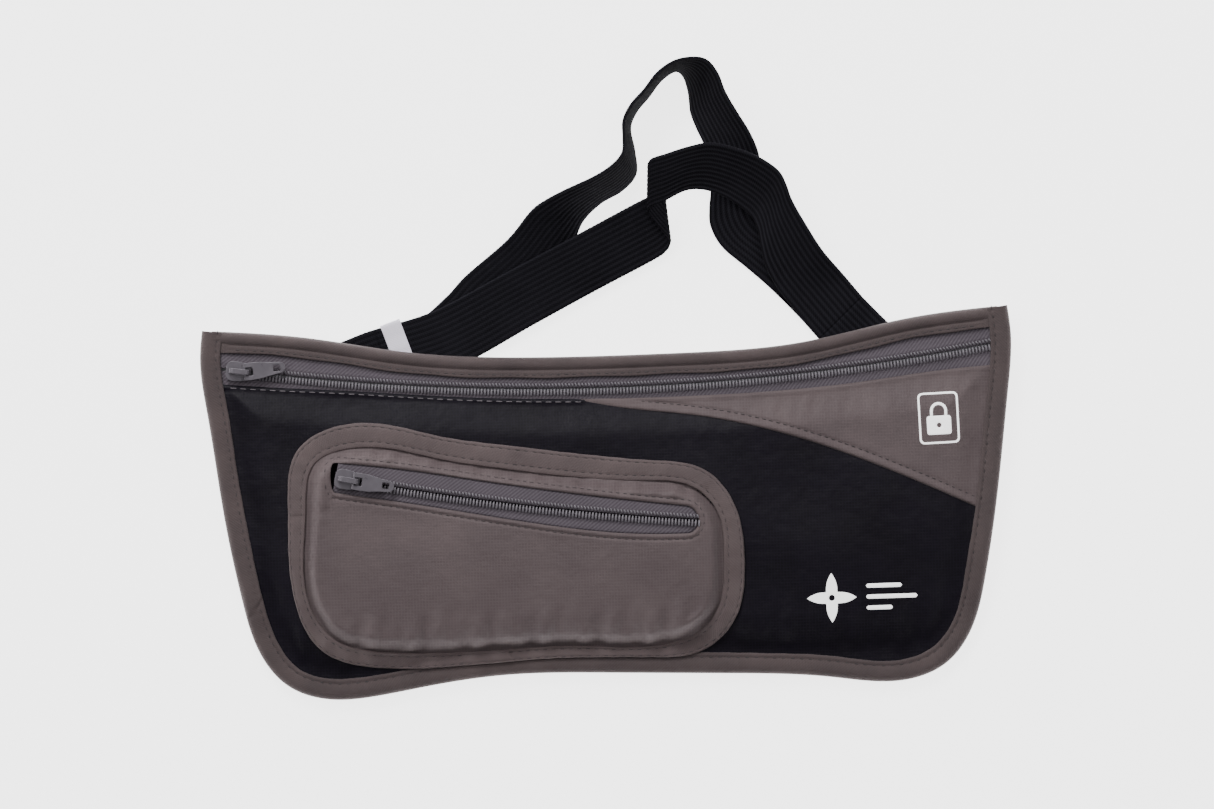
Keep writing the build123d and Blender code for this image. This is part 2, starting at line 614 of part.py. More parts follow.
def flat(place, along, z):
    # both edges of the strap lying flat, its middle at height z
    a = place.from_local_coords((along, STRAP_W / 2, z))
    b = place.from_local_coords((along, -STRAP_W / 2, z))
    return (a.X, a.Y + Y_MID, z, b.X, b.Y + Y_MID, z)


# each row: upper or outer edge x, y, z then lower or inner edge x, y, z
LOOP_END = PLUG_BAR + 2.2
FRONT = [flat(BUCKLE, LOOP_END, 3.65), flat(BUCKLE, LOOP_END + 4, 3.2), flat(BUCKLE, LOOP_END + 9, 1.9)]
FRONT += [flat(BUCKLE, 63, 2.05), (-62, 27.0, 2.1, -52.4, 7.2, 2.05), (-35, 40.2, 5.4, -25.2, 21.2, 2.3)]
FRONT += [(-12, 51.4, 7.8, -2.6, 32.7, 1.9), (10, 62.3, 9.5, 18.8, 43.2, 1.7)]
FOLD = [FRONT[-1], (16.6, 65.4, 10.2, 23.2, 46.2, 2.2), (20.8, 67.4, 10.9, 24.6, 48.2, 3.2)]
FOLD += [(22.7, 69.2, 12.8, 24.5, 50.0, 5.0), (21.9, 71.3, 15.4, 22.6, 52.4, 6.8)]
FOLD += [(19.8, 74.0, 18.2, 19.6, 56.2, 8.6), (18.0, 76.3, 20.4, 17.4, 59.4, 10.0)]
FOLD += [(17.7, 78.0, 22.0, 16.9, 61.0, 11.2), (19.3, 79.3, 22.9, 18.3, 62.3, 12.1)]
FOLD += [(24, 80.6, 23.2, 22.7, 63.9, 11.9)]
ARCH = [FOLD[-1], (32, 82.9, 22.4, 30.5, 67.6, 9.4), (40.2, 84.2, 20.8, 37, 67.9, 6.8)]
ARCH += [(49, 82.2, 18.9, 44.1, 65.6, 5.2), (57.5, 78.7, 16.6, 50, 61.7, 4.6)]
ARCH += [(64.3, 73.8, 15.2, 54.5, 57.5, 4.4)]
ARCH += [(67.0, 69.0, 14.2, 56.7, 52.5, 4.4), (69.3, 62.5, 12.6, 57.7, 46, 4.3)]
ARCH += [(74.5, 53, 10.0, 59, 39.4, 4.0)]
ARCH += [(80, 44.2, 6.4, 63, 31.4, 3.2), (87, 35.8, 2.4, 69.8, 22.2, 2.2), flat(GLIDE, 0, 1.9)]
RIGHT_END = [flat(GLIDE, 0, 1.9), flat(GLIDE, 8, 1.9), flat(GLIDE, 20, 4.0)]
RIGHT_END += [flat(GLIDE, GLIDE_R - 1.6, 4.0)]

BACK = [flat(BUCKLE, LOOP_END, 0.95), flat(BUCKLE, LOOP_END + 6, 0.6), flat(BUCKLE, 63, 0.6)]
BACK += [(-69.3, 23.0, 0.6, -61.3, 2.5, 0.6), (-57.3, 32.0, 0.6, -45.3, 13.6, 0.6)]
BACK += [(-49.8, 39.6, 0.8, -36.3, 22.2, 0.6)]
BACK += [(-34.5, 51.8, 5.2, -20.8, 36.2, 0.7)]
BACK_ARCH = [BACK[-1], (-25.5, 61.9, 9.6, -13, 46, 0.7), (-20, 65.6, 13.6, -9.6, 52, 0.8)]
BACK_ARCH += [(-13, 68.8, 17.6, -6.2, 58.6, 0.9)]
BACK_ARCH += [(-2.6, 73.0, 20.4, 0, 64.4, 0.9), (4.2, 77.0, 20.8, 7.7, 68.6, 0.9)]
BACK_ARCH += [(8.4, 81.6, 21.0, 12.9, 74.4, 0.9)]
BACK_ARCH += [(9.0, 87, 21.6, 12.7, 82.6, 0.9), (9.2, 93, 22.2, 11.4, 91, 0.8)]
BACK_ARCH += [(12, 98.6, 22.3, 13.8, 97.0, 0.7)]
BACK_ARCH += [(17, 103.9, 22.3, 18.5, 102.4, 0.7), (22, 109.9, 22.3, 23.2, 108.2, 0.7)]
BACK_ARCH += [(28, 113.8, 22.0, 28.4, 111.4, 0.8)]
BACK_ARCH += [(34.5, 115.1, 21.4, 31.4, 109.4, 0.9), (39.8, 114.2, 19.0, 33, 104, 0.9)]
BACK_ARCH += [(43.6, 109.6, 17.4, 33.4, 99.6, 0.9)]
BACK_ARCH += [(46.2, 102.6, 16.8, 33.8, 95.6, 0.9), (50, 95.6, 16.0, 35.6, 90.4, 0.9)]
BACK_ARCH += [(54.6, 87.8, 13.6, 38.3, 84.0, 0.8)]
BACK_ARCH += [(57.4, 81, 10.4, 39.9, 76.4, 0.7), (58.6, 74, 7.6, 40.1, 68.0, 0.6)]
BACK_ARCH += [(59.8, 67, 5.0, 39.3, 61.0, 0.6)]
BACK_ARCH += [(61.4, 61.2, 2.6, 39.6, 54.4, 0.6), (63.6, 58.2, 1.0, 43.6, 46.8, 0.6)]
BACK_ARCH += [(67.2, 55.2, 0.6, 52.4, 38.9, 0.6)]
BACK_RUN = [BACK_ARCH[-1], (76, 47.0, 0.6, 60.8, 31.1, 0.6), (86.2, 36.2, 0.6, 70.4, 20.9, 0.6)]
BACK_RUN += [flat(GLIDE, 0, 0.6)]
BACK_RUN += [flat(GLIDE, 8, 0.6)]
BACK_END = [flat(GLIDE, 8, 0.6), flat(GLIDE, 22, 2.0), flat(GLIDE, 60, 2.0), flat(GLIDE, 65, 4.0)]
BACK_END += [flat(GLIDE, 70, 4.0)]


def between(rows, steps):
    # smooth path through the rows, the same number of steps in each stretch
    out = []
    for i in range(len(rows) - 1):
        a, b = rows[max(i - 1, 0)], rows[i]
        c, d = rows[i + 1], rows[min(i + 2, len(rows) - 1)]
        for k in range(steps):
            t = k / steps
            w = (-t + 2 * t * t - t**3, 2 - 5 * t * t + 3 * t**3, t + 4 * t * t - 3 * t**3, t**3 - t * t)
            row = [(w[0] * q + w[1] * r + w[2] * v + w[3] * z) / 2 for q, r, v, z in zip(a, b, c, d)]
            row[2], row[5] = max(row[2], STRAP_T / 2), max(row[5], STRAP_T / 2)
            out.append(row)
    return out + [list(rows[-1])]


def ribbon(path, lead_in=None, lead_out=None):
    # webbing of even thickness lofted through flat sections square to its run
    count = len(path)
    mids = [Vector((r[0] + r[3]) / 2, (r[1] + r[4]) / 2 - Y_MID, (r[2] + r[5]) / 2) for r in path]
    with BuildPart() as web:
        for i, row in enumerate(path):
            across = Vector(row[0] - row[3], row[1] - row[4], row[2] - row[5])
            run = mids[min(i + 1, count - 1)] - mids[max(i - 1, 0)]
            if i == 0 and lead_in:
                run = Vector(*lead_in)
            if i == count - 1 and lead_out:
                run = Vector(*lead_out)
            normal = across.cross(run).normalized()
            with BuildSketch(Plane(origin=mids[i], x_dir=across, z_dir=normal.cross(across))):
                Rectangle(across.length, STRAP_T)
        loft(ruled=True)
    return web.part


def straps(rows, steps, first, last, lead_in=None, lead_out=None):
    # part of one continuous path, so that neighbouring pieces meet on the same section
    path = between(rows, steps)
    a, b = first * steps, last * steps
    mids = [Vector((r[0] + r[3]) / 2, (r[1] + r[4]) / 2, (r[2] + r[5]) / 2) for r in path]
    if a > 0:
        lead_in = tuple(mids[a + 1] - mids[a - 1])
    if b < len(path) - 1:
        lead_out = tuple(mids[b + 1] - mids[b - 1])
    return ribbon(path[a : b + 1], lead_in, lead_out)


FRONT_PATH = FRONT + FOLD[1:] + ARCH[1:]
N1, N2, N3 = len(FRONT) - 1, len(FRONT) + len(FOLD) - 2, len(FRONT) + len(FOLD) + len(ARCH) - 3
with BuildPart() as strap_front_left_end:
    add(straps(FRONT_PATH, 2, 0, 3, lead_in=LEFT_RUN))
strap_front_left_end.part.label = "strap_front_left_end"

with BuildPart() as strap_front_left_run:
    add(straps(FRONT_PATH, 2, 3, N1))
strap_front_left_run.part.label = "strap_front_left_run"

with BuildPart() as strap_front_fold:
    add(straps(FRONT_PATH, 2, N1, N2))
strap_front_fold.part.label = "strap_front_fold"

with BuildPart() as strap_front_arch:
    add(straps(FRONT_PATH, 2, N2, N3, lead_out=RIGHT_RUN))
strap_front_arch.part.label = "strap_front_arch"

with BuildPart() as strap_front_right_end:
    add(ribbon(RIGHT_END, RIGHT_RUN, RIGHT_RUN))
strap_front_right_end.part.label = "strap_front_right_end"

BACK_PATH = BACK + BACK_ARCH[1:] + BACK_RUN[1:]
M1, M2 = len(BACK) - 1, len(BACK) + len(BACK_ARCH) - 2
M3 = M2 + len(BACK_RUN) - 1
with BuildPart() as strap_back_left_end:
    add(straps(BACK_PATH, 2, 0, 2, lead_in=LEFT_RUN))
strap_back_left_end.part.label = "strap_back_left_end"

with BuildPart() as strap_back_left_run:
    add(straps(BACK_PATH, 2, 2, M1))
strap_back_left_run.part.label = "strap_back_left_run"

with BuildPart() as strap_back_arch:
    add(straps(BACK_PATH, 2, M1, M2))
strap_back_arch.part.label = "strap_back_arch"

with BuildPart() as strap_back_right_run:
    add(straps(BACK_PATH, 2, M2, M3, lead_out=RIGHT_RUN))
strap_back_right_run.part.label = "strap_back_right_run"

with BuildPart() as strap_back_right_end:
    add(ribbon(BACK_END, RIGHT_RUN, RIGHT_RUN))
strap_back_right_end.part.label = "strap_back_right_end"

# ---- adjuster on the hidden right run --------------------------------------------------------
with BuildPart() as tri_glide:
    with BuildSketch(GLIDE.offset(0.2)):
        with Locations((GLIDE_R, 0)):
            RectangleRounded(GLIDE_L, GLIDE_W, 2.0)
            Rectangle(GLIDE_L + 2, STRAP_W + 0.8, mode=Mode.SUBTRACT)
    extrude(amount=3.2)
    with BuildSketch(GLIDE.offset(0.2)):
        for along in (GLIDE_R - GLIDE_L / 2 + 1.25, GLIDE_R + GLIDE_L / 2 - 1.25):
            with Locations((along, 0)):
                Rectangle(2.5, STRAP_W + 2)
    extrude(amount=1.1)
    with BuildSketch(GLIDE.offset(2.65)):
        with Locations((GLIDE_R, 0)):
            Rectangle(2.4, STRAP_W + 2)
    extrude(amount=0.7)
tri_glide.part.label = "tri_glide"

GLIDE_SIDE = Plane(origin=GLIDE.origin, x_dir=GLIDE.x_dir, z_dir=-GLIDE.y_dir)
with BuildPart() as strap_end_hook:
    # the strap's own end, sewn round the adjuster's middle bar
    with BuildSketch(GLIDE_SIDE):
        with BuildLine():
            Polyline((GLIDE_R - 1.6, 3.4), (GLIDE_R + 1.3, 3.4), (GLIDE_R + 1.3, 2.65))
            Polyline((GLIDE_R + 1.3, 2.65), (GLIDE_R + 2.4, 2.65), (GLIDE_R + 2.4, 4.0))
            Polyline((GLIDE_R + 2.4, 4.0), (GLIDE_R + 1.8, 4.6), (GLIDE_R - 1.6, 4.6))
            Line((GLIDE_R - 1.6, 4.6), (GLIDE_R - 1.6, 3.4))
        make_face()
    extrude(amount=STRAP_W / 2 - 0.2, both=True)
strap_end_hook.part.label = "strap_end_hook"

# ---- care label across the strap, and the two printed marks -----------------------------------
LABEL_S, LABEL_W = 69.5, 7.4
with BuildPart() as care_label:
    label_at = BUCKLE.from_local_coords((LABEL_S, 0, 0))
    with BuildSketch(Plane(origin=label_at, x_dir=BUCKLE.y_dir, z_dir=BUCKLE.x_dir)):
        with BuildLine():
            Polyline((-10.5, 2.8), (11.2, 2.8), (11.2, 0.9), (11.45, 0.9), (11.45, 3.05))
            Polyline((11.45, 3.05), (-10.5, 3.05), (-10.5, 2.8))
        make_face()
    extrude(amount=LABEL_W / 2, both=True)
care_label.part.label = "care_label"

BADGE_AT, BADGE_W, BADGE_H = p(119.6, -17.6), 14.6, 18.6
with BuildPart() as security_print:
    # shielded-pocket mark: a rounded frame round a plain padlock
    base = FRONT_FACE.moved(Location((0, 0, SEAM_Z + CLOTH + 0.06)))
    extrude(to_extrude=base, amount=0.12, dir=(0, 0, 1))
    with BuildSketch():
        with Locations(Location((BADGE_AT[0], BADGE_AT[1], 0), (0, 0, 0.6))):
            RectangleRounded(BADGE_W, BADGE_H, 1.6)
            RectangleRounded(BADGE_W - 1.5, BADGE_H - 1.5, 1.0, mode=Mode.SUBTRACT)
            with Locations((0, 1.4)):
                SlotOverall(8.6, 5.6, rotation=90)
                SlotOverall(7.0, 4.0, rotation=90, mode=Mode.SUBTRACT)
            with Locations((0, -2.2)):
                RectangleRounded(8.6, 6.6, 0.8)
                Circle(1.0, mode=Mode.SUBTRACT)
    extrude(amount=30, mode=Mode.INTERSECT)
security_print.part.label = "security_print"

MARK_AT = p(79.0, -81.5)
with BuildPart() as maker_print:
    # generic travel mark: a four-pointed compass star and three dashes
    base = FRONT_FACE.moved(Location((0, 0, SEAM_Z + CLOTH + 0.06)))
    extrude(to_extrude=base, amount=0.12, dir=(0, 0, 1))
    with BuildSketch():
        for turn in (0, 90, 180, 270):
            with Locations(Location((MARK_AT[0], MARK_AT[1], 0), (0, 0, turn))):
                with Locations((0, 4.6)):
                    Triangle(c=4.4, a=9.0, b=9.0, rotation=0)
        for row, long in ((4.0, 13.0), (0.0, 18.5), (-4.0, 9.5)):
            with Locations((MARK_AT[0] + 12.5 + long / 2, MARK_AT[1] + row)):
                SlotOverall(long, 1.5)
    extrude(amount=30, mode=Mode.INTERSECT)
maker_print.part.label = "maker_print"

names = [back_panel, rfid_liner_back, front_panel, accent_panel, rfid_liner_front]
names += [top_binding, edge_binding]
names += [main_zip_tape_upper, main_zip_tape_lower, main_zip_coil_upper, main_zip_coil_lower]
names += [main_zip_slider, main_zip_pull, pocket_panel, pocket_binding, pocket_zip_tape_upper]
names += [pocket_zip_tape_lower, pocket_zip_coil_upper, pocket_zip_coil_lower, pocket_zip_slider]
names += [pocket_zip_pull, buckle_tab, buckle_socket, buckle_plug, buckle_prong_upper, buckle_prong_lower]
names += [security_print, maker_print, strap_plug_loop, strap_front_left_end]
names += [strap_front_left_run, strap_front_fold, strap_front_arch, strap_front_right_end]
names += [strap_back_left_end, strap_back_left_run, strap_back_arch, strap_back_right_run]
names += [strap_back_right_end, tri_glide, strap_end_hook, care_label]
for name in names:
    export_step(name.part, "parts/" + name.part.label + ".step")
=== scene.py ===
import math

import bpy
import numpy as np
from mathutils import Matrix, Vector


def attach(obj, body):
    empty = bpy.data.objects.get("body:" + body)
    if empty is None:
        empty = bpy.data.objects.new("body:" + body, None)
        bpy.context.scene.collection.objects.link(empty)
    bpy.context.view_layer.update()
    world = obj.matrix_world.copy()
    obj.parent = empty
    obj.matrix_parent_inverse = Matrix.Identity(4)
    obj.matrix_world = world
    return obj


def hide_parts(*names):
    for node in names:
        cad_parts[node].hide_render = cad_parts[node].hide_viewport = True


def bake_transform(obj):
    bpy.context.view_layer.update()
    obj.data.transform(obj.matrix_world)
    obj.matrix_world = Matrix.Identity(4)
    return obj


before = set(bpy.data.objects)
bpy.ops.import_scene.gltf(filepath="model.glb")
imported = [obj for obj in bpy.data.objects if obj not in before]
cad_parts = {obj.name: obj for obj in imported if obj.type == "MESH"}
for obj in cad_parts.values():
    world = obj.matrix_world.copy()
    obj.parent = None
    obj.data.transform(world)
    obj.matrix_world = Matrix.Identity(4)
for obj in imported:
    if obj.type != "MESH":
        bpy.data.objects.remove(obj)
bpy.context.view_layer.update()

# Everything below is in millimetres until piece() makes the mesh in metres. The frame is the
# CAD's: the pouch lies on its back, front up (+Z), top edge towards +Y.
MM = 0.001
Y_MID = 1.3
STRAP_W, STRAP_T = 22.0, 1.2
CLOTH, LINER = 0.5, 0.3
BACK_Z = 5.4
TAPE_Z, TAPE_T = 7.2, 0.5
SEAM_Z = TAPE_Z + TAPE_T + 0.15
POUCH_RISE, POUCH_SLOPE = 3.45, 14.0
POCKET_RISE, POCKET_SLOPE = 4.95, 5.0
POCKET_Z = SEAM_Z + CLOTH + 0.25
PTAPE_Z = POCKET_Z + POUCH_RISE + POCKET_RISE - TAPE_T - 0.05
BIND_W = 7.6
COIL_PITCH, COIL_H = 1.2, 1.4
MAIN_R, MAIN_LOW = 858.0, -3.1
MAIN_C = (0.0, MAIN_LOW + MAIN_R - Y_MID)
POCKET_R = 1000.0
POCKET_A, POCKET_B = (-98.0, -32.3), (31.6, -51.8)


def p(x, y):
    return (x, y - Y_MID)


def points(*pairs):
    return [p(x, y) for x, y in pairs]


TOP_EDGE = points(
    (-146, 22.5), (-109, 18.9), (-72, 12.4), (-27, 9.1), (27, 9.0), (72, 11.6), (109, 18.8), (146, 22.5)
)
SIDE_EDGE = points(
    (146, 22.5), (147, 13), (145.4, -8), (140.3, -46), (135, -76), (130, -93.5), (120, -106.6),
    (104, -112.4), (78, -110.4), (42, -107.9), (-4, -106.2), (-40, -105.9), (-68, -109), (-86, -111.9),
    (-104, -112.7), (-119, -107.4), (-129.3, -94.3), (-134.6, -76), (-140, -46), (-145, -8), (-147, 13),
    (-146, 22.5)
)
SEAM = points(
    (-145, 3.4), (-118, 0.9), (-97, -0.7), (-60, -4.0), (-12, -6.5), (38, -6.6), (92, -3.6),
    (118, -0.6), (146, 1.4)
)
WEDGE = points(
    (-12, -6.5), (6, -10.4), (30, -13.7), (69.6, -23.5), (101.3, -35.9), (131.7, -50), (146, -57)
)
POCKET_OUT = points(
    (-116.7, -45), (-113, -22.5), (-95, -13), (-63.7, -17.7), (-26.6, -24), (13.6, -29.3), (35, -34),
    (45.5, -48), (47.8, -67), (44.4, -87), (31.5, -99.2), (11, -101), (-34, -100.7), (-83, -102),
    (-106, -95), (-116, -73)
)
POCKET_IN = points(
    (-110.3, -46), (-106.6, -27.4), (-92, -21.8), (-64, -26.1), (-27, -32.8), (11, -36.8), (29, -39.4),
    (38.6, -49), (40.2, -66), (37.1, -85), (24, -94.8), (-9, -96.2), (-49, -96.8), (-83, -96),
    (-101, -91), (-110, -78)
)
WINDOW_TOP = points((-100, -26.7), (-78, -29.5), (-47, -34.9), (-7, -41.6), (32, -47))
WINDOW_LOW = points((31, -56.3), (12.5, -56), (-27.5, -50.9), (-64.5, -43.8), (-102.4, -37))


# ---- curves and height fields ------------------------------------------------------------
def curve(points, step=1.0, closed=False):
    """Points a step apart along the smooth curve through these points."""
    pts = np.array(points, float)
    if closed:
        pts = np.vstack([pts[-3:], pts, pts[:4]])
    h = np.maximum(np.linalg.norm(np.diff(pts, axis=0), axis=1), 1e-9)
    d = np.diff(pts, axis=0) / h[:, None]
    n = len(pts)
    a, b = np.zeros((n, n)), np.zeros_like(pts)
    a[0, :2], b[0] = (2, 1), 3 * d[0]
    a[-1, -2:], b[-1] = (1, 2), 3 * d[-1]
    for i in range(1, n - 1):
        a[i, i - 1 : i + 2] = h[i], 2 * (h[i - 1] + h[i]), h[i - 1]
        b[i] = 3 * (h[i] * d[i - 1] + h[i - 1] * d[i])
    m = np.linalg.solve(a, b)
    first, last = (3, n - 4) if closed else (0, n - 1)
    out = []
    for i in range(first, last):
        t = np.linspace(0, 1, 64, endpoint=False)[:, None]
        out.append(
            (2 * t**3 - 3 * t**2 + 1) * pts[i] + (t**3 - 2 * t**2 + t) * h[i] * m[i]
            + (3 * t**2 - 2 * t**3) * pts[i + 1] + (t**3 - t**2) * h[i] * m[i + 1]
        )
    dense = np.vstack(out + [pts[last][None]])
    return even(dense, step, closed)


def even(dense, step, closed=False):
    """The same path with points an even step apart."""
    s = np.r_[0, np.cumsum(np.linalg.norm(np.diff(dense, axis=0), axis=1))]
    count = max(2, int(round(s[-1] / step)))
    want = np.linspace(0, s[-1], count + 1)
    if closed:
        want = want[:-1]
    return np.stack([np.interp(want, s, dense[:, k]) for k in range(dense.shape[1])], axis=1)


def smooth(t):
    t = np.clip(t, 0.0, 1.0)
    return t * t * (3 - 2 * t)


def bell(t):
    return np.exp(-np.square(t))


def normals(path, closed=False):
    """Unit normals to the left of a flat path."""
    if closed:
        run = np.roll(path, -1, axis=0) - np.roll(path, 1, axis=0)
    else:
        run = np.gradient(path, axis=0)
    run /= np.linalg.norm(run, axis=1)[:, None]
    return np.stack([-run[:, 1], run[:, 0]], axis=1)


def distance(x, y, loop):
    """How far inside the closed loop each point is, negative outside it."""
    x, y = np.asarray(x, float), np.asarray(y, float)
    best, inside = np.full(x.shape, 1e9), np.zeros(x.shape, bool)
    for a, b in zip(loop, np.roll(loop, -1, axis=0)):
        e = b - a
        t = np.clip(((x - a[0]) * e[0] + (y - a[1]) * e[1]) / (e @ e + 1e-12), 0, 1)
        best = np.minimum(best, np.hypot(x - a[0] - t * e[0], y - a[1] - t * e[1]))
        if a[1] != b[1]:
            inside ^= ((a[1] > y) != (b[1] > y)) & (x < a[0] + (y - a[1]) * e[0] / e[1])
    return np.where(inside, best, -best)


TOP = curve(TOP_EDGE)
SIDE = curve(SIDE_EDGE)
SEAM_LINE = curve(SEAM)
WEDGE_LINE = curve(WEDGE)
SIDE_IN = -normals(SIDE)  # inward, because the side runs clockwise round the pouch
OUTLINE = np.vstack([TOP, SIDE[1:-1]])


def mound_loop():
    """The part of the front inside the bindings and below the lower tape's seam."""
    inner = SIDE + SIDE_IN * BIND_W
    inner = inner[inner[:, 1] < np.interp(inner[:, 0], SEAM_LINE[:, 0], SEAM_LINE[:, 1])]
    top = SEAM_LINE[np.abs(SEAM_LINE[:, 0]) < 138]
    return even(np.vstack([top, inner]), 3.0)


MOUND = mound_loop()
POCKET_RING = curve(POCKET_OUT, 1.0, closed=True)
POCKET_HOLE = curve(POCKET_IN, 1.0, closed=True)


def seam_y(x):
    return np.interp(x, SEAM_LINE[:, 0], SEAM_LINE[:, 1])


def wedge_y(x):
    return np.interp(x, WEDGE_LINE[:, 0], WEDGE_LINE[:, 1])


def rise(x, y):
    return POUCH_RISE * smooth(distance(x, y, MOUND) / POUCH_SLOPE)


def pocket_rise(x, y):
    return POCKET_RISE * smooth(distance(x, y, POCKET_HOLE) / POCKET_SLOPE)


def sag(y):
    """The lower half of the pouch has nothing under it, so it settles on the table."""
    return -4.3 * smooth((-y - 56) / 48)


def ripple(x, y, angle, wave, phase=0.0):
    """Soft parallel folds, tops rounder than valleys."""
    a = math.radians(angle)
    s = np.sin((x * math.cos(a) + y * math.sin(a)) * 2 * math.pi / wave + phase)
    return 0.6 * s + 0.4 * np.abs(s) * s


def front_waves(x, y):
    """Slack of the front cloth: long swells, and puckers that run up from the lower seam."""
    inside = smooth(distance(x, y, MOUND) / 7.0)
    swell = (
        0.42 * ripple(x, y, 22, 74) + 0.3 * ripple(x, y, -38, 52, 1.3) + 0.16 * ripple(x, y, 63, 31, 0.4)
    )
    low = np.interp(x, LOW_X, LOW_Y)
    pucker = bell((y - low - 10) / 9.0) * (0.34 * ripple(x, y, 4, 13.5, 0.6) + 0.28 * ripple(x, y, -9, 8.3))
    top = bell((seam_y(x) - y - 6) / 6.0) * smooth((x - 22) / 26)
    top = top * (0.2 * ripple(x, y, -3, 5.9) + 0.14 * ripple(x, y, 4, 11.0))
    return inside * (swell + pucker + top)


LOWER = SIDE + SIDE_IN * BIND_W
LOWER = LOWER[(LOWER[:, 1] < -90)]
LOWER = LOWER[np.argsort(LOWER[:, 0])]
LOW_X, LOW_Y = LOWER[:, 0], LOWER[:, 1]


def front_top(x, y):
    """Upper face of the front panel."""
    return SEAM_Z + CLOTH + rise(x, y) + front_waves(x, y)


def pocket_waves(x, y):
    inside = smooth(distance(x, y, POCKET_HOLE) / 6.0)
    upper = np.interp(x, WTOP[:, 0], WTOP[:, 1])
    strip = bell((y - upper - 5.2) / 2.6) * (
        0.4 * ripple(x, y, -12, 7.4) + 0.3 * ripple(x, y, -6, 12.7, 1.1)
    )
    swell = 0.28 * ripple(x, y, 15, 61, 2.0) + 0.2 * ripple(x, y, -50, 43)
    foot = bell((y + 92.5) / 7.5) * (0.75 * ripple(x, y, 6, 12.4, 0.2) + 0.5 * ripple(x, y, -12, 7.7))
    # the slanting fold at the lower right corner
    across = (x - 24.0) * math.sin(math.radians(37)) - (y + 93.0) * math.cos(math.radians(37))
    along = (x - 24.0) * math.cos(math.radians(37)) + (y + 93.0) * math.sin(math.radians(37))
    crest = 1.0 * bell(across / 1.5) - 0.6 * bell((across - 2.8) / 1.8)
    fold = crest * bell((along - 6) / 9.0)
    calm = 1 - 0.85 * bell(window_far(x, y) / 3.5)
    rim = smooth(distance(x, y, POCKET_HOLE) / 1.6)
    beside_window = smooth((window_far(x, y) - 0.6) / 1.8)
    return calm * (inside * swell + rim * (foot + fold)) + 1.5 * strip * rim * beside_window


def pocket_top(x, y):
    return POCKET_Z + CLOTH + rise(x, y) + pocket_rise(x, y) + pocket_waves(x, y)


# ---- meshes --------------------------------------------------------------------------------
def quads(rows, cols, wrap_rows=False, wrap_cols=False):
    """Faces of a grid whose vertex r, c is number r * cols + c."""
    r = np.arange(rows if wrap_rows else rows - 1)[:, None]
    c = np.arange(cols if wrap_cols else cols - 1)[None, :]
    r2, c2 = (r + 1) % rows, (c + 1) % cols
    return np.stack([r * cols + c, r * cols + c2, r2 * cols + c2, r2 * cols + c], axis=-1).reshape(-1, 4)


def piece(name, verts, faces, material, body="pouch", stands_for=(), uv=None, finish=None):
    """One piece of the object from millimetre vertices, riding on a CAD body."""
    mesh = bpy.data.meshes.new(name)
    mesh.from_pydata((np.asarray(verts, float) * MM).tolist(), [], [list(map(int, f)) for f in faces])
    mesh.validate()
    if uv is not None:
        loops = np.empty(len(mesh.loops), int)
        mesh.loops.foreach_get("vertex_index", loops)
        layer = mesh.uv_layers.new(name="UVMap")
        layer.data.foreach_set("uv", np.asarray(uv, float)[loops].ravel())
    mesh.update()
    mesh.shade_smooth()
    obj = bpy.data.objects.new(name, mesh)
    bpy.context.scene.collection.objects.link(obj)
    mesh.materials.append(material)
    if body:
        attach(obj, body)
    if stands_for:
        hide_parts(*stands_for)
    return obj


def thick(obj, amount, offset=-1.0):
    """Gives a sheet its cloth's thickness."""
    mod = obj.modifiers.new("thickness", "SOLIDIFY")
    mod.thickness, mod.offset = amount * MM, offset
    mod.use_rim = True
    return obj


def rounded(obj, width, segments=2, angle=40):
    """Softens the edges of a hard piece."""
    mod = obj.modifiers.new("edges", "BEVEL")
    mod.width, mod.segments = width * MM, segments
    mod.limit_method, mod.angle_limit = "ANGLE", math.radians(angle)
    return obj


class Shape:
    """Collects vertices, faces and UVs of one mesh."""

    def __init__(self):
        self.verts, self.faces, self.uvs, self.count = [], [], [], 0

    def add(self, verts, faces, uv=None):
        verts = np.asarray(verts, float).reshape(-1, 3)
        self.verts.append(verts)
        self.faces += [[int(i) + self.count for i in f] for f in faces]
        self.uvs.append(verts[:, :2] if uv is None else np.asarray(uv, float).reshape(-1, 2))
        self.count += len(verts)

    def prism(self, outline, z0, z1, place=lambda q: q):
        """An outline in u, v drawn out between two heights."""
        n = len(outline)
        low = [place((u, v, z0)) for u, v in outline]
        high = [place((u, v, z1)) for u, v in outline]
        sides = [[i, (i + 1) % n, (i + 1) % n + n, i + n] for i in range(n)]
        self.add(low + high, sides + [list(range(n))[::-1], list(range(n, 2 * n))])

    def arrays(self):
        return np.vstack(self.verts), self.faces, np.vstack(self.uvs)


def ladder(high, low, rows, near=(0, 0.15, 0.4, 0.8, 1.3, 2.0)):
    """y of each grid row in every column: fine steps at both edges, even ones between."""
    near = np.array(near)[:, None]
    k = np.minimum(1.0, (high - low) / (4 * near[-1]))
    top, bottom = high - near * k, low + near[::-1] * k
    t = np.linspace(0, 1, rows + 2)[1:-1, None]
    return np.vstack([top, top[-1] * (1 - t) + bottom[0] * t, bottom])


def height_sheet(name, xs, high, low, rows, z_of, material, stands_for, thickness=CLOTH):
    """A cloth panel as a grid of columns between two edges, its height given by z_of."""
    y = ladder(high, low, rows)
    x = np.broadcast_to(xs, y.shape)
    z = z_of(x, y) + sag(y)
    verts = np.stack([x, y, z], axis=-1).reshape(-1, 3)
    faces = quads(y.shape[0], y.shape[1])[:, ::-1]
    uv = np.stack([x, y], axis=-1).reshape(-1, 2)
    return thick(piece(name, verts, faces, material, "pouch", stands_for, uv), thickness)


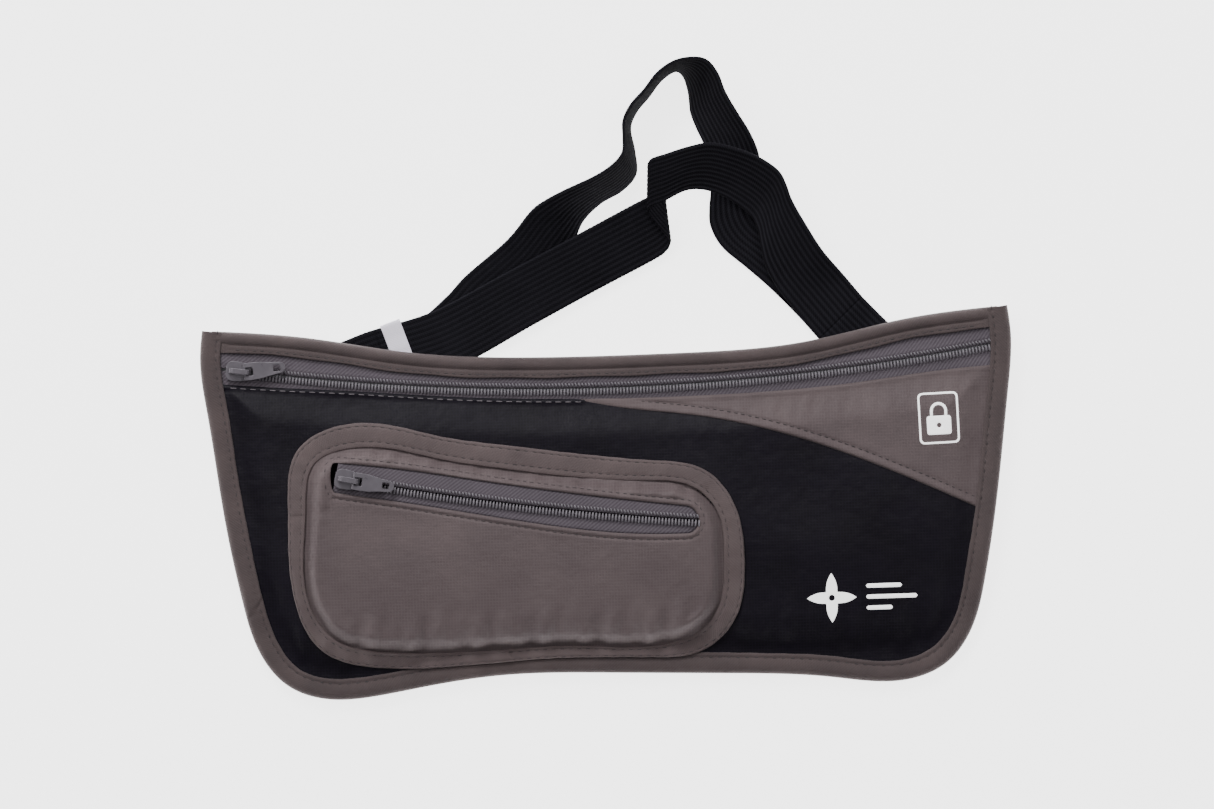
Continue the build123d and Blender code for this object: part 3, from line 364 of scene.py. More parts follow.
def swept(name, path, inward, profile, material, stands_for, closed=False, extra=None):
    """A closed profile of (inward, z) points carried along a flat path. extra moves the points."""
    n, m = len(path), np.shape(profile[0])[-1]
    inn, up = profile
    x = path[:, 0, None] + inward[:, 0, None] * inn
    y = path[:, 1, None] + inward[:, 1, None] * inn
    z = np.broadcast_to(up, x.shape).astype(float)
    step = np.linalg.norm(np.diff(path, axis=0), axis=1)
    s = np.r_[0, np.cumsum(step)][:, None] * np.ones(m)
    if extra is not None:
        x, y, z = extra(x, y, z, s, np.broadcast_to(inn, x.shape))
    z = z + sag(y)
    mean_in, mean_up = (q.mean(axis=0) if q.ndim > 1 else q for q in (inn, up))
    v = np.r_[0, np.cumsum(np.hypot(np.diff(mean_in), np.diff(mean_up)))]
    verts = np.stack([x, y, z], axis=-1).reshape(-1, 3)
    uv = np.stack([s, np.broadcast_to(v, s.shape)], axis=-1).reshape(-1, 2)
    faces = quads(n, m, wrap_rows=closed, wrap_cols=True).tolist()
    if not closed:
        faces += [list(range(m))[::-1], list(range((n - 1) * m, n * m))]
    return piece(name, verts, faces, material, "pouch", stands_for, uv)


# ---- materials -----------------------------------------------------------------------------
def srgb(r, g, b):
    """Linear colour from 0-255 display values."""
    out = []
    for c in (r, g, b):
        c /= 255
        out.append(c / 12.92 if c <= 0.04045 else ((c + 0.055) / 1.055) ** 2.4)
    return (*out, 1.0)


class Nodes:
    """A short way to write a node tree."""

    def __init__(self, name):
        self.mat = bpy.data.materials.new(name)
        self.mat.use_nodes = True
        self.tree = self.mat.node_tree
        self.shader = self.tree.nodes["Principled BSDF"]
        self.uv = self.add("ShaderNodeUVMap").outputs["UV"]
        self.uv.node.uv_map = "UVMap"

    def add(self, kind, inputs=(), **settings):
        node = self.tree.nodes.new(kind)
        for key, value in settings.items():
            setattr(node, key, value)
        for key, value in dict(inputs).items():
            self.put(node.inputs[key], value)
        return node

    def put(self, socket, value):
        if isinstance(value, bpy.types.NodeSocket):
            self.tree.links.new(value, socket)
        else:
            socket.default_value = value

    def math(self, op, a, b=0.0, clamp=False):
        return self.add("ShaderNodeMath", {0: a, 1: b}, operation=op, use_clamp=clamp).outputs[0]

    def axes(self):
        node = self.add("ShaderNodeSeparateXYZ", {0: self.uv})
        return node.outputs[0], node.outputs[1]

    def noise(self, scale, detail=2.0, rough=0.5, stretch=(1, 1, 1), vector=None):
        place = self.add("ShaderNodeMapping", {0: self.uv if vector is None else vector, "Scale": stretch})
        settings = {"Vector": place.outputs[0], "Scale": scale, "Detail": detail, "Roughness": rough}
        return self.add("ShaderNodeTexNoise", settings).outputs[0]

    def ramp(self, value, stops, interpolation="LINEAR"):
        node = self.add("ShaderNodeValToRGB", {0: value})
        node.color_ramp.interpolation = interpolation
        while len(node.color_ramp.elements) < len(stops):
            node.color_ramp.elements.new(0.5)
        for element, (at, colour) in zip(node.color_ramp.elements, stops):
            element.position = at
            element.color = colour if hasattr(colour, "__len__") else (colour, colour, colour, 1)
        return node.outputs[0]

    def mix(self, factor, a, b):
        node = self.add("ShaderNodeMix", {0: factor, 6: a, 7: b}, data_type="RGBA")
        return node.outputs[2]

    def wave(self, axis, pitch, phase=0.0):
        """0 to 1 and back once every pitch millimetres along an axis."""
        turn = self.math("ADD", self.math("MULTIPLY", axis, 2 * math.pi / pitch), phase)
        node = self.add(
            "ShaderNodeMath", {0: self.math("SINE", turn), 1: 0.5, 2: 0.5}, operation="MULTIPLY_ADD"
        )
        return node.outputs[0]

    def bump(self, height, strength=0.5, distance=0.0002, normal=None):
        inputs = {"Height": height, "Strength": strength, "Distance": distance}
        if normal is not None:
            inputs["Normal"] = normal
        return self.add("ShaderNodeBump", inputs).outputs[0]

    def surface(self, colour, rough, normal=None, **constants):
        self.put(self.shader.inputs["Base Color"], colour)
        self.put(self.shader.inputs["Roughness"], rough)
        if normal is not None:
            self.put(self.shader.inputs["Normal"], normal)
        for key, value in constants.items():
            self.shader.inputs[key.replace("_", " ")].default_value = value
        return self.mat


def ripstop(name, colour, dark, light, grid=1.1, rough=0.62, sheen=0.25, shine=0.35):
    """Plain woven nylon with a fine reinforcing check."""
    n = Nodes(name)
    u, v = n.axes()
    line_u = n.math("POWER", n.wave(u, grid), 7.0)
    line_v = n.math("POWER", n.wave(v, grid), 7.0)
    check = n.math("MAXIMUM", line_u, line_v)
    thread = n.math("MULTIPLY", n.wave(u, 0.28), n.wave(v, 0.28, 1.6))
    cloud = n.noise(0.045, 3.0)
    fleck = n.noise(1.6, 2.0)
    tone = n.mix(n.ramp(cloud, [(0.3, 0.0), (0.7, 1.0)]), dark, colour)
    tone = n.mix(n.math("MULTIPLY", check, 0.3), tone, light)
    tone = n.mix(n.math("MULTIPLY", fleck, 0.22), tone, dark)
    height = n.math("ADD", n.math("MULTIPLY", check, 0.5), n.math("MULTIPLY", thread, 0.5))
    first = n.bump(height, 0.5, 0.00012)
    second = n.bump(n.noise(0.22, 3.0, 0.55), 0.35, 0.0012, first)
    roughness = n.ramp(n.noise(0.9, 2.0), [(0.25, rough - 0.06), (0.75, rough + 0.08)])
    return n.surface(
        tone, roughness, second, Sheen_Weight=sheen, Sheen_Roughness=0.45, Specular_IOR_Level=shine
    )


def webbing(
    name, colour, dark, light, rib=0.0, weft=0.55, rough=0.75, sheen=0.3, cross=1.1, shine=0.3, share=0.35
):
    """Narrow woven tape: fine crosswise weft, lengthwise ribs, a slightly uneven colour."""
    n = Nodes(name)
    u, v = n.axes()
    weave = n.math("MULTIPLY", n.wave(u, weft), n.wave(v, 0.42))
    twill = n.wave(n.math("ADD", u, v), cross)
    pattern = n.math("ADD", n.math("MULTIPLY", weave, 0.6), n.math("MULTIPLY", twill, 0.4))
    if rib:
        pattern = n.math("ADD", pattern, n.wave(v, rib))
    cloud = n.noise(0.06, 3.0)
    tone = n.mix(n.ramp(cloud, [(0.3, 0.0), (0.7, 1.0)]), dark, colour)
    tone = n.mix(n.math("MULTIPLY", pattern, share), tone, light)
    first = n.bump(pattern, 0.6, 0.00016)
    roughness = n.ramp(n.noise(0.7, 2.0), [(0.25, rough - 0.08), (0.75, rough + 0.08)])
    return n.surface(
        tone, roughness, first, Sheen_Weight=sheen, Sheen_Roughness=0.5, Specular_IOR_Level=shine
    )


def moulded(name, colour, rough=0.4, metal=0.0, grain=6.0, depth=0.00004):
    """Plastic or painted metal with a fine grain and rubbed highlights."""
    n = Nodes(name)
    where = n.add("ShaderNodeTexCoord").outputs["Object"]
    fine = n.noise(grain * 1000, 3.0, 0.6, vector=where)
    broad = n.noise(300.0, 3.0, 0.5, vector=where)
    paler = tuple(min(1.0, c * 1.25) for c in colour[:3]) + (1.0,)
    tone = n.mix(n.ramp(broad, [(0.35, 0.0), (0.75, 0.6)]), colour, paler)
    roughness = n.ramp(broad, [(0.3, rough - 0.08), (0.8, rough + 0.1)])
    return n.surface(tone, roughness, n.bump(fine, 0.25, depth), Metallic=metal)


GREY = ripstop("grey_ripstop", srgb(106, 93, 94), srgb(94, 82, 84), srgb(124, 110, 111), sheen=0.12)
BLACK = ripstop(
    "black_ripstop", srgb(20, 15, 27), srgb(13, 9, 18), srgb(38, 31, 47), rough=0.46, sheen=0.02, shine=0.2
)
BACKING = ripstop("back_ripstop", srgb(100, 91, 94), srgb(90, 82, 85), srgb(112, 102, 105))
LINING = moulded("shielding_liner", srgb(150, 150, 154), 0.35, 0.6)
TRIM = webbing("grey_binding", srgb(92, 80, 80), srgb(78, 68, 69), srgb(112, 99, 99), sheen=0.12)
RING = webbing("pocket_binding_weave", srgb(106, 93, 93), srgb(92, 80, 81), srgb(126, 112, 112), sheen=0.12)
TAPE = webbing(
    "zip_tape", srgb(84, 76, 84), srgb(70, 63, 71), srgb(142, 133, 142), weft=0.5, cross=1.5, sheen=0.05,
    share=0.7
)
ELASTIC = webbing(
    "black_elastic", srgb(20, 19, 23), srgb(11, 10, 13), srgb(56, 55, 62), rib=2.0, weft=0.8, rough=0.8,
    sheen=0.0, shine=0.03, share=0.32
)
TEETH = moulded("coil_nylon", srgb(122, 117, 124), 0.4)
ENAMEL = moulded("painted_zip_metal", srgb(112, 107, 114), 0.34, 0.25)
PLASTIC = moulded("black_acetal", srgb(30, 30, 32), 0.42, 0.0, 3.0)
# Thread of about the tape's own colour, drawn darker: painted shade of the stitch grooves and needle holes.
THREAD_PAINTED_SHADE = moulded("thread_painted_shade", srgb(62, 56, 58), 0.6)
THREAD_PALE = moulded("pale_thread", srgb(128, 121, 126), 0.55)
SATIN = webbing(
    "white_satin", srgb(246, 240, 253), srgb(232, 226, 244), srgb(254, 252, 255), weft=0.3, rough=0.45
)
# The care label glows faintly: painted light that brightens it beyond what the lamps give.
SATIN.node_tree.nodes["Principled BSDF"].inputs["Emission Color"].default_value = (0.95, 0.9, 1, 1)
SATIN.node_tree.nodes["Principled BSDF"].inputs["Emission Strength"].default_value = 0.35
INK = moulded("white_print", srgb(246, 246, 247), 0.5)
# The print glows: painted light that makes it brighter than the lamps alone light it.
INK.node_tree.nodes["Principled BSDF"].inputs["Emission Color"].default_value = (1, 1, 1, 1)
INK.node_tree.nodes["Principled BSDF"].inputs["Emission Strength"].default_value = 1.4


# ---- panels --------------------------------------------------------------------------------
def side_y(x, margin):
    """y of the pouch's lower outline, moved in by margin, where the column at x meets it."""
    line = SIDE + SIDE_IN * margin
    line = line[line[:, 1] < 12]
    line = line[np.argsort(line[:, 0])]
    return np.interp(x, line[:, 0], line[:, 1])


def roll(d, radius=0.8, drop=0.5):
    """How far a folded edge turns down, d from the fold."""
    return -drop * (1 - np.sqrt(np.clip(1 - np.square(1 - np.clip(d / radius, 0, 1)), 0, 1)))


def front_cloth():
    xs = np.linspace(-144.4, 139.2, 240)
    high = np.where(xs < -12, seam_y(xs), wedge_y(xs) + 5.0 * smooth((xs + 12) / 14))
    high = np.minimum(high, seam_y(xs))
    low = side_y(xs, 1.2)
    keep = high - low > 1.5
    xs, high, low = xs[keep], high[keep], low[keep]

    def z_of(x, y):
        d = seam_y(x) - y
        edge = np.where(x < -8, roll(d) + 0.25 * bell((d - 1.0) / 0.8) - 0.28 * bell((d - 2.3) / 0.5), 0.0)
        return front_top(x, y) + edge

    obj = height_sheet("front_cloth", xs, high, low, 84, z_of, BLACK, ("front_panel",))
    return obj


def accent_cloth():
    xs = np.linspace(-11.5, 144.6, 150)
    low = np.maximum(wedge_y(xs), side_y(xs, 1.2))
    high = seam_y(xs)
    keep = high - low > 0.4
    xs, high, low = xs[keep], high[keep], low[keep]

    def z_of(x, y):
        d, e = seam_y(x) - y, (y - wedge_y(x)) * 0.94
        top = roll(d) + 0.25 * bell((d - 1.0) / 0.8)
        foot = roll(e, 0.9, 0.95) + 0.3 * bell((e - 1.2) / 0.9) - 0.3 * bell((e - 3.3) / 0.55)
        thin = smooth(np.minimum(d + e, 6.0) / 6.0)
        shown = smooth((distance(x, y, OUTLINE) - BIND_W + 0.6) / 1.0)
        return front_top(x, y) + shown * thin * (0.62 + top + foot)

    obj = height_sheet("accent_cloth", xs, high, low, 44, z_of, GREY, ("accent_panel",))
    return obj


def back_cloth():
    xs = np.linspace(-144.6, 144.6, 180)
    top = np.interp(xs, TOP[:, 0], TOP[:, 1] - 1.2)
    low = side_y(xs, 1.2)
    keep = top - low > 1.5
    xs, top, low = xs[keep], top[keep], low[keep]

    def z_of(x, y):
        return BACK_Z + CLOTH + 0.12 * ripple(x, y, 30, 60) * smooth(distance(x, y, OUTLINE) / 10 - 0.8)

    obj = height_sheet("back_cloth", xs, top, low, 60, z_of, BACKING, ("back_panel",))
    return obj


def shield_back_z(x, y):
    return BACK_Z + CLOTH + LINER + 0.02 + 0 * x


def shield_front_z(x, y):
    under = SEAM_Z - 0.35 + LINER - 0.02 + rise(x, y) + np.minimum(front_waves(x, y), 0)
    return under - 0.25 * smooth(distance(x, y, MOUND) / 5)


def shields():
    """The two thin shielding liners inside the pouch."""
    xs = np.linspace(-143.0, 143.0, 100)
    low = side_y(xs, 2.2)
    back_high = np.interp(xs, TOP[:, 0], TOP[:, 1] - 2.4)
    for name, node, high, z_of, flat in (
        ("shield_back", "rfid_liner_back", back_high, shield_back_z, (0.290, 0.132)),
        ("shield_front", "rfid_liner_front", seam_y(xs) - 6.0, shield_front_z, (0.290, 0.110)),
    ):
        keep = high - low > 1.5
        obj = height_sheet(name, xs[keep], high[keep], low[keep], 40, z_of, LINING, (node,), LINER)


# ---- bindings ------------------------------------------------------------------------------
def stitch_dimple(s, pitch=2.5):
    """1 between stitches, 0 where a stitch bites."""
    return 0.5 + 0.5 * np.cos(2 * np.pi * s / pitch)


def side_profile():
    """Closed section of the folded tape: inward distance and height."""
    front = [
        (0.0, 6.9), (0.12, 7.7), (0.5, 8.45), (1.1, 8.95), (1.9, 9.25), (2.9, 9.38), (3.9, 9.36),
        (4.7, 9.22), (5.2, 9.08), (5.6, 8.9), (5.85, 8.82), (6.1, 8.9), (6.5, 9.05), (6.9, 9.1),
        (7.25, 9.02), (7.5, 8.85), (7.6, 8.62)
    ]
    inside = [(7.4, 8.5), (5.0, 8.5), (1.4, 8.45), (1.05, 7.0), (1.4, 5.3), (5.0, 5.28), (7.4, 5.28)]
    back = [
        (7.6, 5.2), (7.5, 4.95), (6.9, 4.85), (6.1, 4.9), (5.85, 4.98), (5.6, 4.9), (4.4, 4.7), (2.9, 4.62),
        (1.7, 4.72), (0.9, 5.05), (0.35, 5.7)
    ]
    q = np.array(front + inside + back)
    return q[:, 0], q[:, 1]


def side_trim():
    path = curve(SIDE_EDGE, 0.62)
    inward = -normals(path)

    def soften(x, y, z, s, n):
        body = smooth((z - 8.5) / 0.4)
        pull = stitch_dimple(s)
        puff = 0.5 * ripple(s, 0 * s, 0, 41) + 0.35 * ripple(s, 0 * s, 0, 17.5, 1.0)
        z = z + body * (0.10 * puff * bell((n - 3.2) / 2.2) + 0.16 * pull * bell((n - 5.85) / 0.9))
        z = z - body * 0.05 * (1 - pull) * bell((n - 4.2) / 1.6)
        wander = 0.12 * ripple(s, 0 * s, 0, 43, 0.5) + 0.05 * (pull - 0.5) + 0.04 * ripple(s, 0 * s, 0, 9.7)
        shift = wander * smooth((n - 4.5) / 3.0)
        # the diagonal join of the tape's two ends, low on the left
        join = (s - (JOIN_AT + 0.9 * (n - 3.8)))
        z = z + body * (
            0.35 * smooth((join + 0.5) / 0.8) * (1 - smooth((join - 6) / 8))
            - 0.25 * bell((join + 0.5) / 0.5)
        )
        return x + inward[:, 0, None] * shift, y + inward[:, 1, None] * shift, z

    total = len(path) * 0.62
    JOIN_AT = total - 104.0
    obj = swept("edge_binding_tape", path, inward, side_profile(), TRIM, ("edge_binding",), extra=soften)
    return path, inward


def top_profile():
    front = [
        (0.0, 7.0), (0.1, 7.8), (0.5, 8.7), (1.1, 9.25), (1.9, 9.6), (2.7, 9.68), (3.5, 9.5),
        (4.1, 9.15), (4.5, 8.8), (4.75, 8.66), (5.0, 8.74), (5.3, 8.92), (5.7, 8.96), (6.2, 8.86),
        (6.6, 8.84), (7.0, 8.96), (7.35, 8.9), (7.6, 8.66)
    ]
    inside = [(7.4, 8.5), (5.0, 8.5), (1.4, 8.45), (1.05, 7.0), (1.4, 5.3), (5.0, 5.28), (7.4, 5.28)]
    back = [
        (7.6, 5.15), (7.3, 4.88), (6.5, 4.85), (4.8, 4.75), (2.9, 4.65), (1.5, 4.8), (0.7, 5.3), (0.2, 6.1)
    ]
    q = np.array(front + inside + back)
    return q[:, 0], q[:, 1]


def top_trim():
    path = curve(TOP_EDGE, 0.62)
    path = path[(path[:, 0] > -142.5) & (path[:, 0] < 142.5)]
    inward = -normals(path)

    def soften(x, y, z, s, n):
        body = smooth((z - 8.5) / 0.4)
        puff = 0.5 * ripple(s, 0 * s, 0, 37, 2.0) + 0.4 * ripple(s, 0 * s, 0, 15.0)
        z = z + body * (
            0.14 * puff * bell((n - 2.4) / 1.8) + 0.1 * stitch_dimple(s) * bell((n - 6.4) / 0.8)
        )
        shift = 0.18 * ripple(s, 0 * s, 0, 29) * smooth((n - 4.8) / 2.5)
        # thinner where the side binding laps over both ends
        ends = smooth((np.abs(x) - 134.0) / 5.0)
        z = z - ends * body * 0.55
        return x, y - shift, z

    obj = swept("top_binding_tape", path, inward, top_profile(), TRIM, ("top_binding",), extra=soften)
    return path, inward


# ---- stitches ------------------------------------------------------------------------------
def threads(name, at, along, length, width, material, finish, high=0.16):
    """Short stitches: rounded dashes whose ends dive into the cloth."""
    at, along = np.asarray(at, float), np.asarray(along, float)
    along = along / np.linalg.norm(along, axis=1)[:, None]
    flat_along = along * [1, 1, 0]
    flat_along /= np.linalg.norm(flat_along, axis=1)[:, None]
    across = np.stack([-flat_along[:, 1], flat_along[:, 0], 0 * flat_along[:, 0]], axis=1)
    up = np.cross(along, across)
    rings, sides = 7, 6
    t = np.linspace(-1, 1, rings)
    lift = high * (1 - 1.9 * t**4)
    wide = width / 2 * np.sqrt(np.clip(1.02 - t**6, 0.05, 1))
    shape = []
    for k in range(rings):
        for q in range(sides):
            a = 2 * math.pi * q / sides
            shape.append((t[k] * length / 2, math.cos(a) * wide[k], lift[k] + math.sin(a) * wide[k] * 0.7))
    shape = np.array(shape)
    one = quads(rings, sides, wrap_cols=True).tolist()
    one += [list(range(sides))[::-1], list(range((rings - 1) * sides, rings * sides))]
    count = len(shape)
    verts = (
        at[:, None] + along[:, None] * shape[None, :, 0, None]
        + across[:, None] * shape[None, :, 1, None] + up[:, None] * shape[None, :, 2, None]
    )
    faces = [[i + k * count for i in f] for k in range(len(at)) for f in one]
    uv = np.tile(shape[:, :2], (len(at), 1))
    return piece(name, verts.reshape(-1, 3), faces, material, "pouch", (), uv, finish)


def line_of_threads(name, path, z_of, pitch, length, width, material, finish, high=0.16, closed=False):
    """Stitches along a flat path, lying on the surface z_of."""
    path = even(path, pitch, closed)
    run = np.roll(path, -1, axis=0) - path if closed else np.gradient(path, axis=0)
    x, y = path[:, 0], path[:, 1]
    z = z_of(x, y) + sag(y)
    ahead = path + run * 0.5
    z2 = z_of(ahead[:, 0], ahead[:, 1]) + sag(ahead[:, 1])
    along = np.stack([run[:, 0] * 0.5, run[:, 1] * 0.5, z2 - z], axis=1)
    return threads(name, np.stack([x, y, z], axis=1), along, length, width, material, finish, high)


# ---- zips ----------------------------------------------------------------------------------
def polar(centre, radius, angle):
    return np.stack([centre[0] + radius * np.cos(angle), centre[1] + radius * np.sin(angle)], axis=-1)


def arc_sheet(name, centre, radii, angles, z, material, node, curl=None, under=None):
    """Zip tape: a flat strip between two radii."""
    r, a = np.meshgrid(radii, angles, indexing="ij")
    xy = polar(centre, r, a)
    height = z + TAPE_T + (0 if curl is None else curl(r))
    if under is not None:
        height = np.minimum(height, under(xy[..., 0], xy[..., 1]))
    verts = np.dstack([xy, np.broadcast_to(height, r.shape)]).reshape(-1, 3)
    uv = np.stack([a * centre_radius(centre), r], axis=-1).reshape(-1, 2)
    faces = quads(len(radii), len(angles))
    if centre[1] > 0:
        faces = faces[:, ::-1]
    return thick(piece(name, verts, faces, material, "pouch", (node,), uv), TAPE_T - 0.02)


def centre_radius(centre):
    return MAIN_R if centre == MAIN_C else POCKET_R


def coil(name, centre, radius, a0, a1, z, side, node):
    """One side of a coil zip: a row of nylon loops with interlocking heads."""
    pitch = COIL_PITCH / radius
    angles = np.arange(a0, a1, pitch) + (pitch / 2 if side > 0 else 0)
    # one loop seen from above: r outwards from the chain's middle, w along it, h height
    rings, sides = 9, 6
    t = np.linspace(0, 1, rings)
    near, lean = (0.85, 0.55) if side < 0 else (-0.25, 0.0)
    r = 2.25 - (2.25 - near) * t
    h = 0.18 + 0.95 * np.sin(np.pi * np.clip(t * 0.86 + 0.10, 0, 1)) ** 0.55
    w = np.full(rings, 0.34 if side < 0 else 0.38)
    shape = []
    for k in range(rings):
        for q in range(sides):
            b = 2 * math.pi * (q + 0.5) / sides
            shape.append((r[k], math.cos(b) * w[k] + lean * (t[k] - 0.5), h[k] + math.sin(b) * 0.24))
    shape = np.array(shape)
    one = quads(rings, sides, wrap_cols=True).tolist()
    one += [list(range(sides))[::-1], list(range((rings - 1) * sides, rings * sides))]
    out = []
    for a in angles:
        radial, tangent = np.array([math.cos(a), math.sin(a)]), np.array([-math.sin(a), math.cos(a)])
        xy = np.array(centre) + radial * (radius + side * shape[:, :1]) + tangent * shape[:, 1:2]
        out.append(np.column_stack([xy, z + TAPE_T + shape[:, 2]]))
    faces = [[i + k * len(shape) for i in f] for k in range(len(out)) for f in one]
    if side > 0:
        faces = [f[::-1] for f in faces]
    return piece(name, np.vstack(out), faces, TEETH, "pouch", (node,), np.tile(shape[:, :2], (len(out), 1)))


def arc_at(centre, radius, x):
    """Angle where the zip's arc passes x."""
    return math.asin((x - centre[0]) / radius) - math.pi / 2


def main_zip():
    a = np.linspace(arc_at(MAIN_C, MAIN_R, -144.2), arc_at(MAIN_C, MAIN_R, 144.2), 240)
    cord = lambda r: 0.16 * bell((np.abs(r - MAIN_R) - 2.9) / 0.45)
    arc_sheet(
        "zip_tape_upper", MAIN_C, np.linspace(MAIN_R - 10.6, MAIN_R - 0.5, 22), a, TAPE_Z, TAPE,
        "main_zip_tape_upper", cord
    )
    arc_sheet(
        "zip_tape_lower", MAIN_C, np.linspace(MAIN_R + 0.5, MAIN_R + 10.2, 22), a, TAPE_Z, TAPE,
        "main_zip_tape_lower", cord
    )
    a0, a1 = arc_at(MAIN_C, MAIN_R, -130.6), arc_at(MAIN_C, MAIN_R, 139.6)
    coil("zip_coil_upper", MAIN_C, MAIN_R, a0, a1, TAPE_Z, -1, "main_zip_coil_upper")
    coil("zip_coil_lower", MAIN_C, MAIN_R, a0, a1, TAPE_Z, 1, "main_zip_coil_lower")


def pocket_frame():
    a, b = np.array(POCKET_A), np.array(POCKET_B)
    chord = b - a
    half = np.linalg.norm(chord) / 2
    sagitta = POCKET_R - math.sqrt(POCKET_R**2 - half**2)
    up = np.array([-chord[1], chord[0]]) / np.linalg.norm(chord)
    centre = (a + b) / 2 - [0, Y_MID] + up * (POCKET_R - sagitta)
    return tuple(centre), math.atan2(chord[1], chord[0])


POCKET_C, POCKET_TILT = pocket_frame()


def pocket_angle(along):
    return POCKET_TILT - math.pi / 2 + math.asin(along / POCKET_R)


def pocket_zip():
    a = np.linspace(pocket_angle(-66.5), pocket_angle(65.6), 130)

    def below(x, y):
        d = window_far(x, y)
        return POCKET_Z + CLOTH + rise(x, y) + pocket_rise(x, y) - 0.55 - 0.9 * smooth((d + 0.3) / 0.8)

    cord = lambda r: 0.16 * bell((np.abs(r - POCKET_R) - 2.9) / 0.45)
    arc_sheet(
        "pocket_tape_upper", POCKET_C, np.linspace(POCKET_R - 7.4, POCKET_R - 0.5, 16), a, PTAPE_Z, TAPE,
        "pocket_zip_tape_upper", cord, below
    )
    arc_sheet(
        "pocket_tape_lower", POCKET_C, np.linspace(POCKET_R + 0.5, POCKET_R + 8.6, 18), a, PTAPE_Z, TAPE,
        "pocket_zip_tape_lower", cord, below
    )
    a0, a1 = pocket_angle(-59.6), pocket_angle(65.6)
    coil("pocket_coil_upper", POCKET_C, POCKET_R, a0, a1, PTAPE_Z, -1, "pocket_zip_coil_upper")
    coil("pocket_coil_lower", POCKET_C, POCKET_R, a0, a1, PTAPE_Z, 1, "pocket_zip_coil_lower")


# ---- patch pocket --------------------------------------------------------------------------
WTOP, WLOW = curve(WINDOW_TOP, 0.5), curve(WINDOW_LOW, 0.5)[::-1]
WINDOW_X0, WINDOW_X1 = -100.7, 31.6


def window_mid(x):
    """Middle line and half height of the zip window, whose ends are rounded."""
    up = np.interp(x, WTOP[:, 0], WTOP[:, 1])
    low = np.interp(x, WLOW[:, 0], WLOW[:, 1])
    right = np.sqrt(np.clip(1 - np.square(np.clip((x - WINDOW_X1 + 4.2) / 4.2, 0, 1)), 0, 1))
    left = np.sqrt(np.clip(1 - np.square(np.clip((WINDOW_X0 + 1.4 - x) / 1.4, 0, 1)), 0, 1))
    half = (up - low) / 2 * np.minimum(left, right)
    return (up + low) / 2, np.where((x <= WINDOW_X0) | (x >= WINDOW_X1), 0.0, half)


def window_loop():
    t = np.linspace(0, math.pi, 40)
    xs = np.r_[WINDOW_X0, WINDOW_X0 + 0.7 * (1 - np.cos(t[:20])), np.linspace(-99, 27, 160)]
    xs = np.r_[xs, WINDOW_X1 - 4.2 * (1 - np.sin(t[:20])), WINDOW_X1]
    xs = np.unique(np.round(xs, 4))
    mid, half = window_mid(xs)
    up = np.stack([xs, mid + half], axis=1)
    low = np.stack([xs, mid - half], axis=1)
    return even(np.vstack([up, low[::-1][1:-1], up[:1]]), 0.6, closed=True)


WINDOW = window_loop()


def window_far(x, y):
    """How far a point lies outside the zip window."""
    return -distance(x, y, WINDOW)


def pocket_cloth_z(x, y):
    d = window_far(x, y)
    edge = (
        roll(d, 0.6, 0.3) + 0.34 * bell((d - 1.0) / 0.75) - 0.3 * bell((d - 2.1) / 0.45)
        + 0.14 * bell((d - 3.0) / 0.8)
    )
    # the folded tab and its creases beside the window's left end
    near = bell((x + 104.2) / 3.4) * bell((y + 39.0) / 6.8)
    crease = (
        0.7 * bell((x + 107.4) / 0.8) + 0.6 * bell((y + 45.6) / 1.0)
        + 0.45 * bell((x + 0.5 * y + 122.6) / 0.7)
    )
    edge = edge + near * (1.5 * bell((x + 103.6) / 1.9) - 2.0 * crease)
    return pocket_top(x, y) + edge


def pocket_cloth():
    ring = POCKET_RING - normals(POCKET_RING, closed=True) * 2.6
    x0, x1 = ring[:, 0].min() + 0.4, ring[:, 0].max() - 0.4
    xs = np.r_[
        np.linspace(x0, WINDOW_X0, 16)[:-1], WINDOW_X0 + 1.4 * (1 - np.cos(np.linspace(0, math.pi / 2, 7)))
    ]
    xs = np.r_[
        xs, np.linspace(-99.3, 27.2, 150),
        WINDOW_X1 - 4.2 * (1 - np.sin(np.linspace(0.12, math.pi / 2, 12)))
    ]
    xs = np.r_[xs, np.linspace(WINDOW_X1, x1, 16)[1:]]
    high, low = np.empty(len(xs)), np.empty(len(xs))
    for k, x in enumerate(xs):
        after = np.roll(ring, -1, axis=0)
        cross = (ring[:, 0] - x) * (after[:, 0] - x) <= 0
        t = (x - ring[cross, 0]) / (after[cross, 0] - ring[cross, 0] + 1e-9)
        ys = ring[cross, 1] + t * (after[cross, 1] - ring[cross, 1])
        high[k], low[k] = ys.max(), ys.min()
    mid, half = window_mid(xs)
    near = np.array([0, 0.12, 0.3, 0.55, 0.9, 1.3, 1.7, 2.0, 2.3, 2.7, 3.3])[:, None]
    up_y = np.vstack(
        [mid + half + near, mid + half + 3.3 + (high - mid - half - 3.3) * np.linspace(0, 1, 12)[1:, None]]
    )
    low_y = np.vstack(
        [mid - half - near, mid - half - 3.3 + (low - mid + half + 3.3) * np.linspace(0, 1, 46)[1:, None]]
    )
    shape = Shape()
    for y, flip in ((up_y, False), (low_y, True)):
        x = np.broadcast_to(xs, y.shape)
        z = pocket_cloth_z(x, y) + sag(y)
        faces = quads(y.shape[0], y.shape[1])
        shape.add(np.stack([x, y, z], axis=-1), faces[:, ::-1] if flip else faces)
    obj = piece("pocket_cloth", *shape.arrays()[:2], GREY, "pouch", ("pocket_panel",), shape.arrays()[2])
    weld = obj.modifiers.new("weld", "WELD")
    weld.merge_threshold = 0.00001
    thick(obj, CLOTH)


def bed(x, y):
    """What the pocket's binding lies on: the front, or the pouch's own binding near its edge."""
    d = distance(x, y, OUTLINE)
    tape = np.interp(d, [0, 1, 3, 5, 6.6, 7.6, 9.0], [8.2, 8.9, 9.35, 9.15, 9.1, 8.8, 8.35])
    return np.maximum(SEAM_Z + CLOTH + rise(x, y) + front_waves(x, y), np.where(d < 9, tape, 0.0))


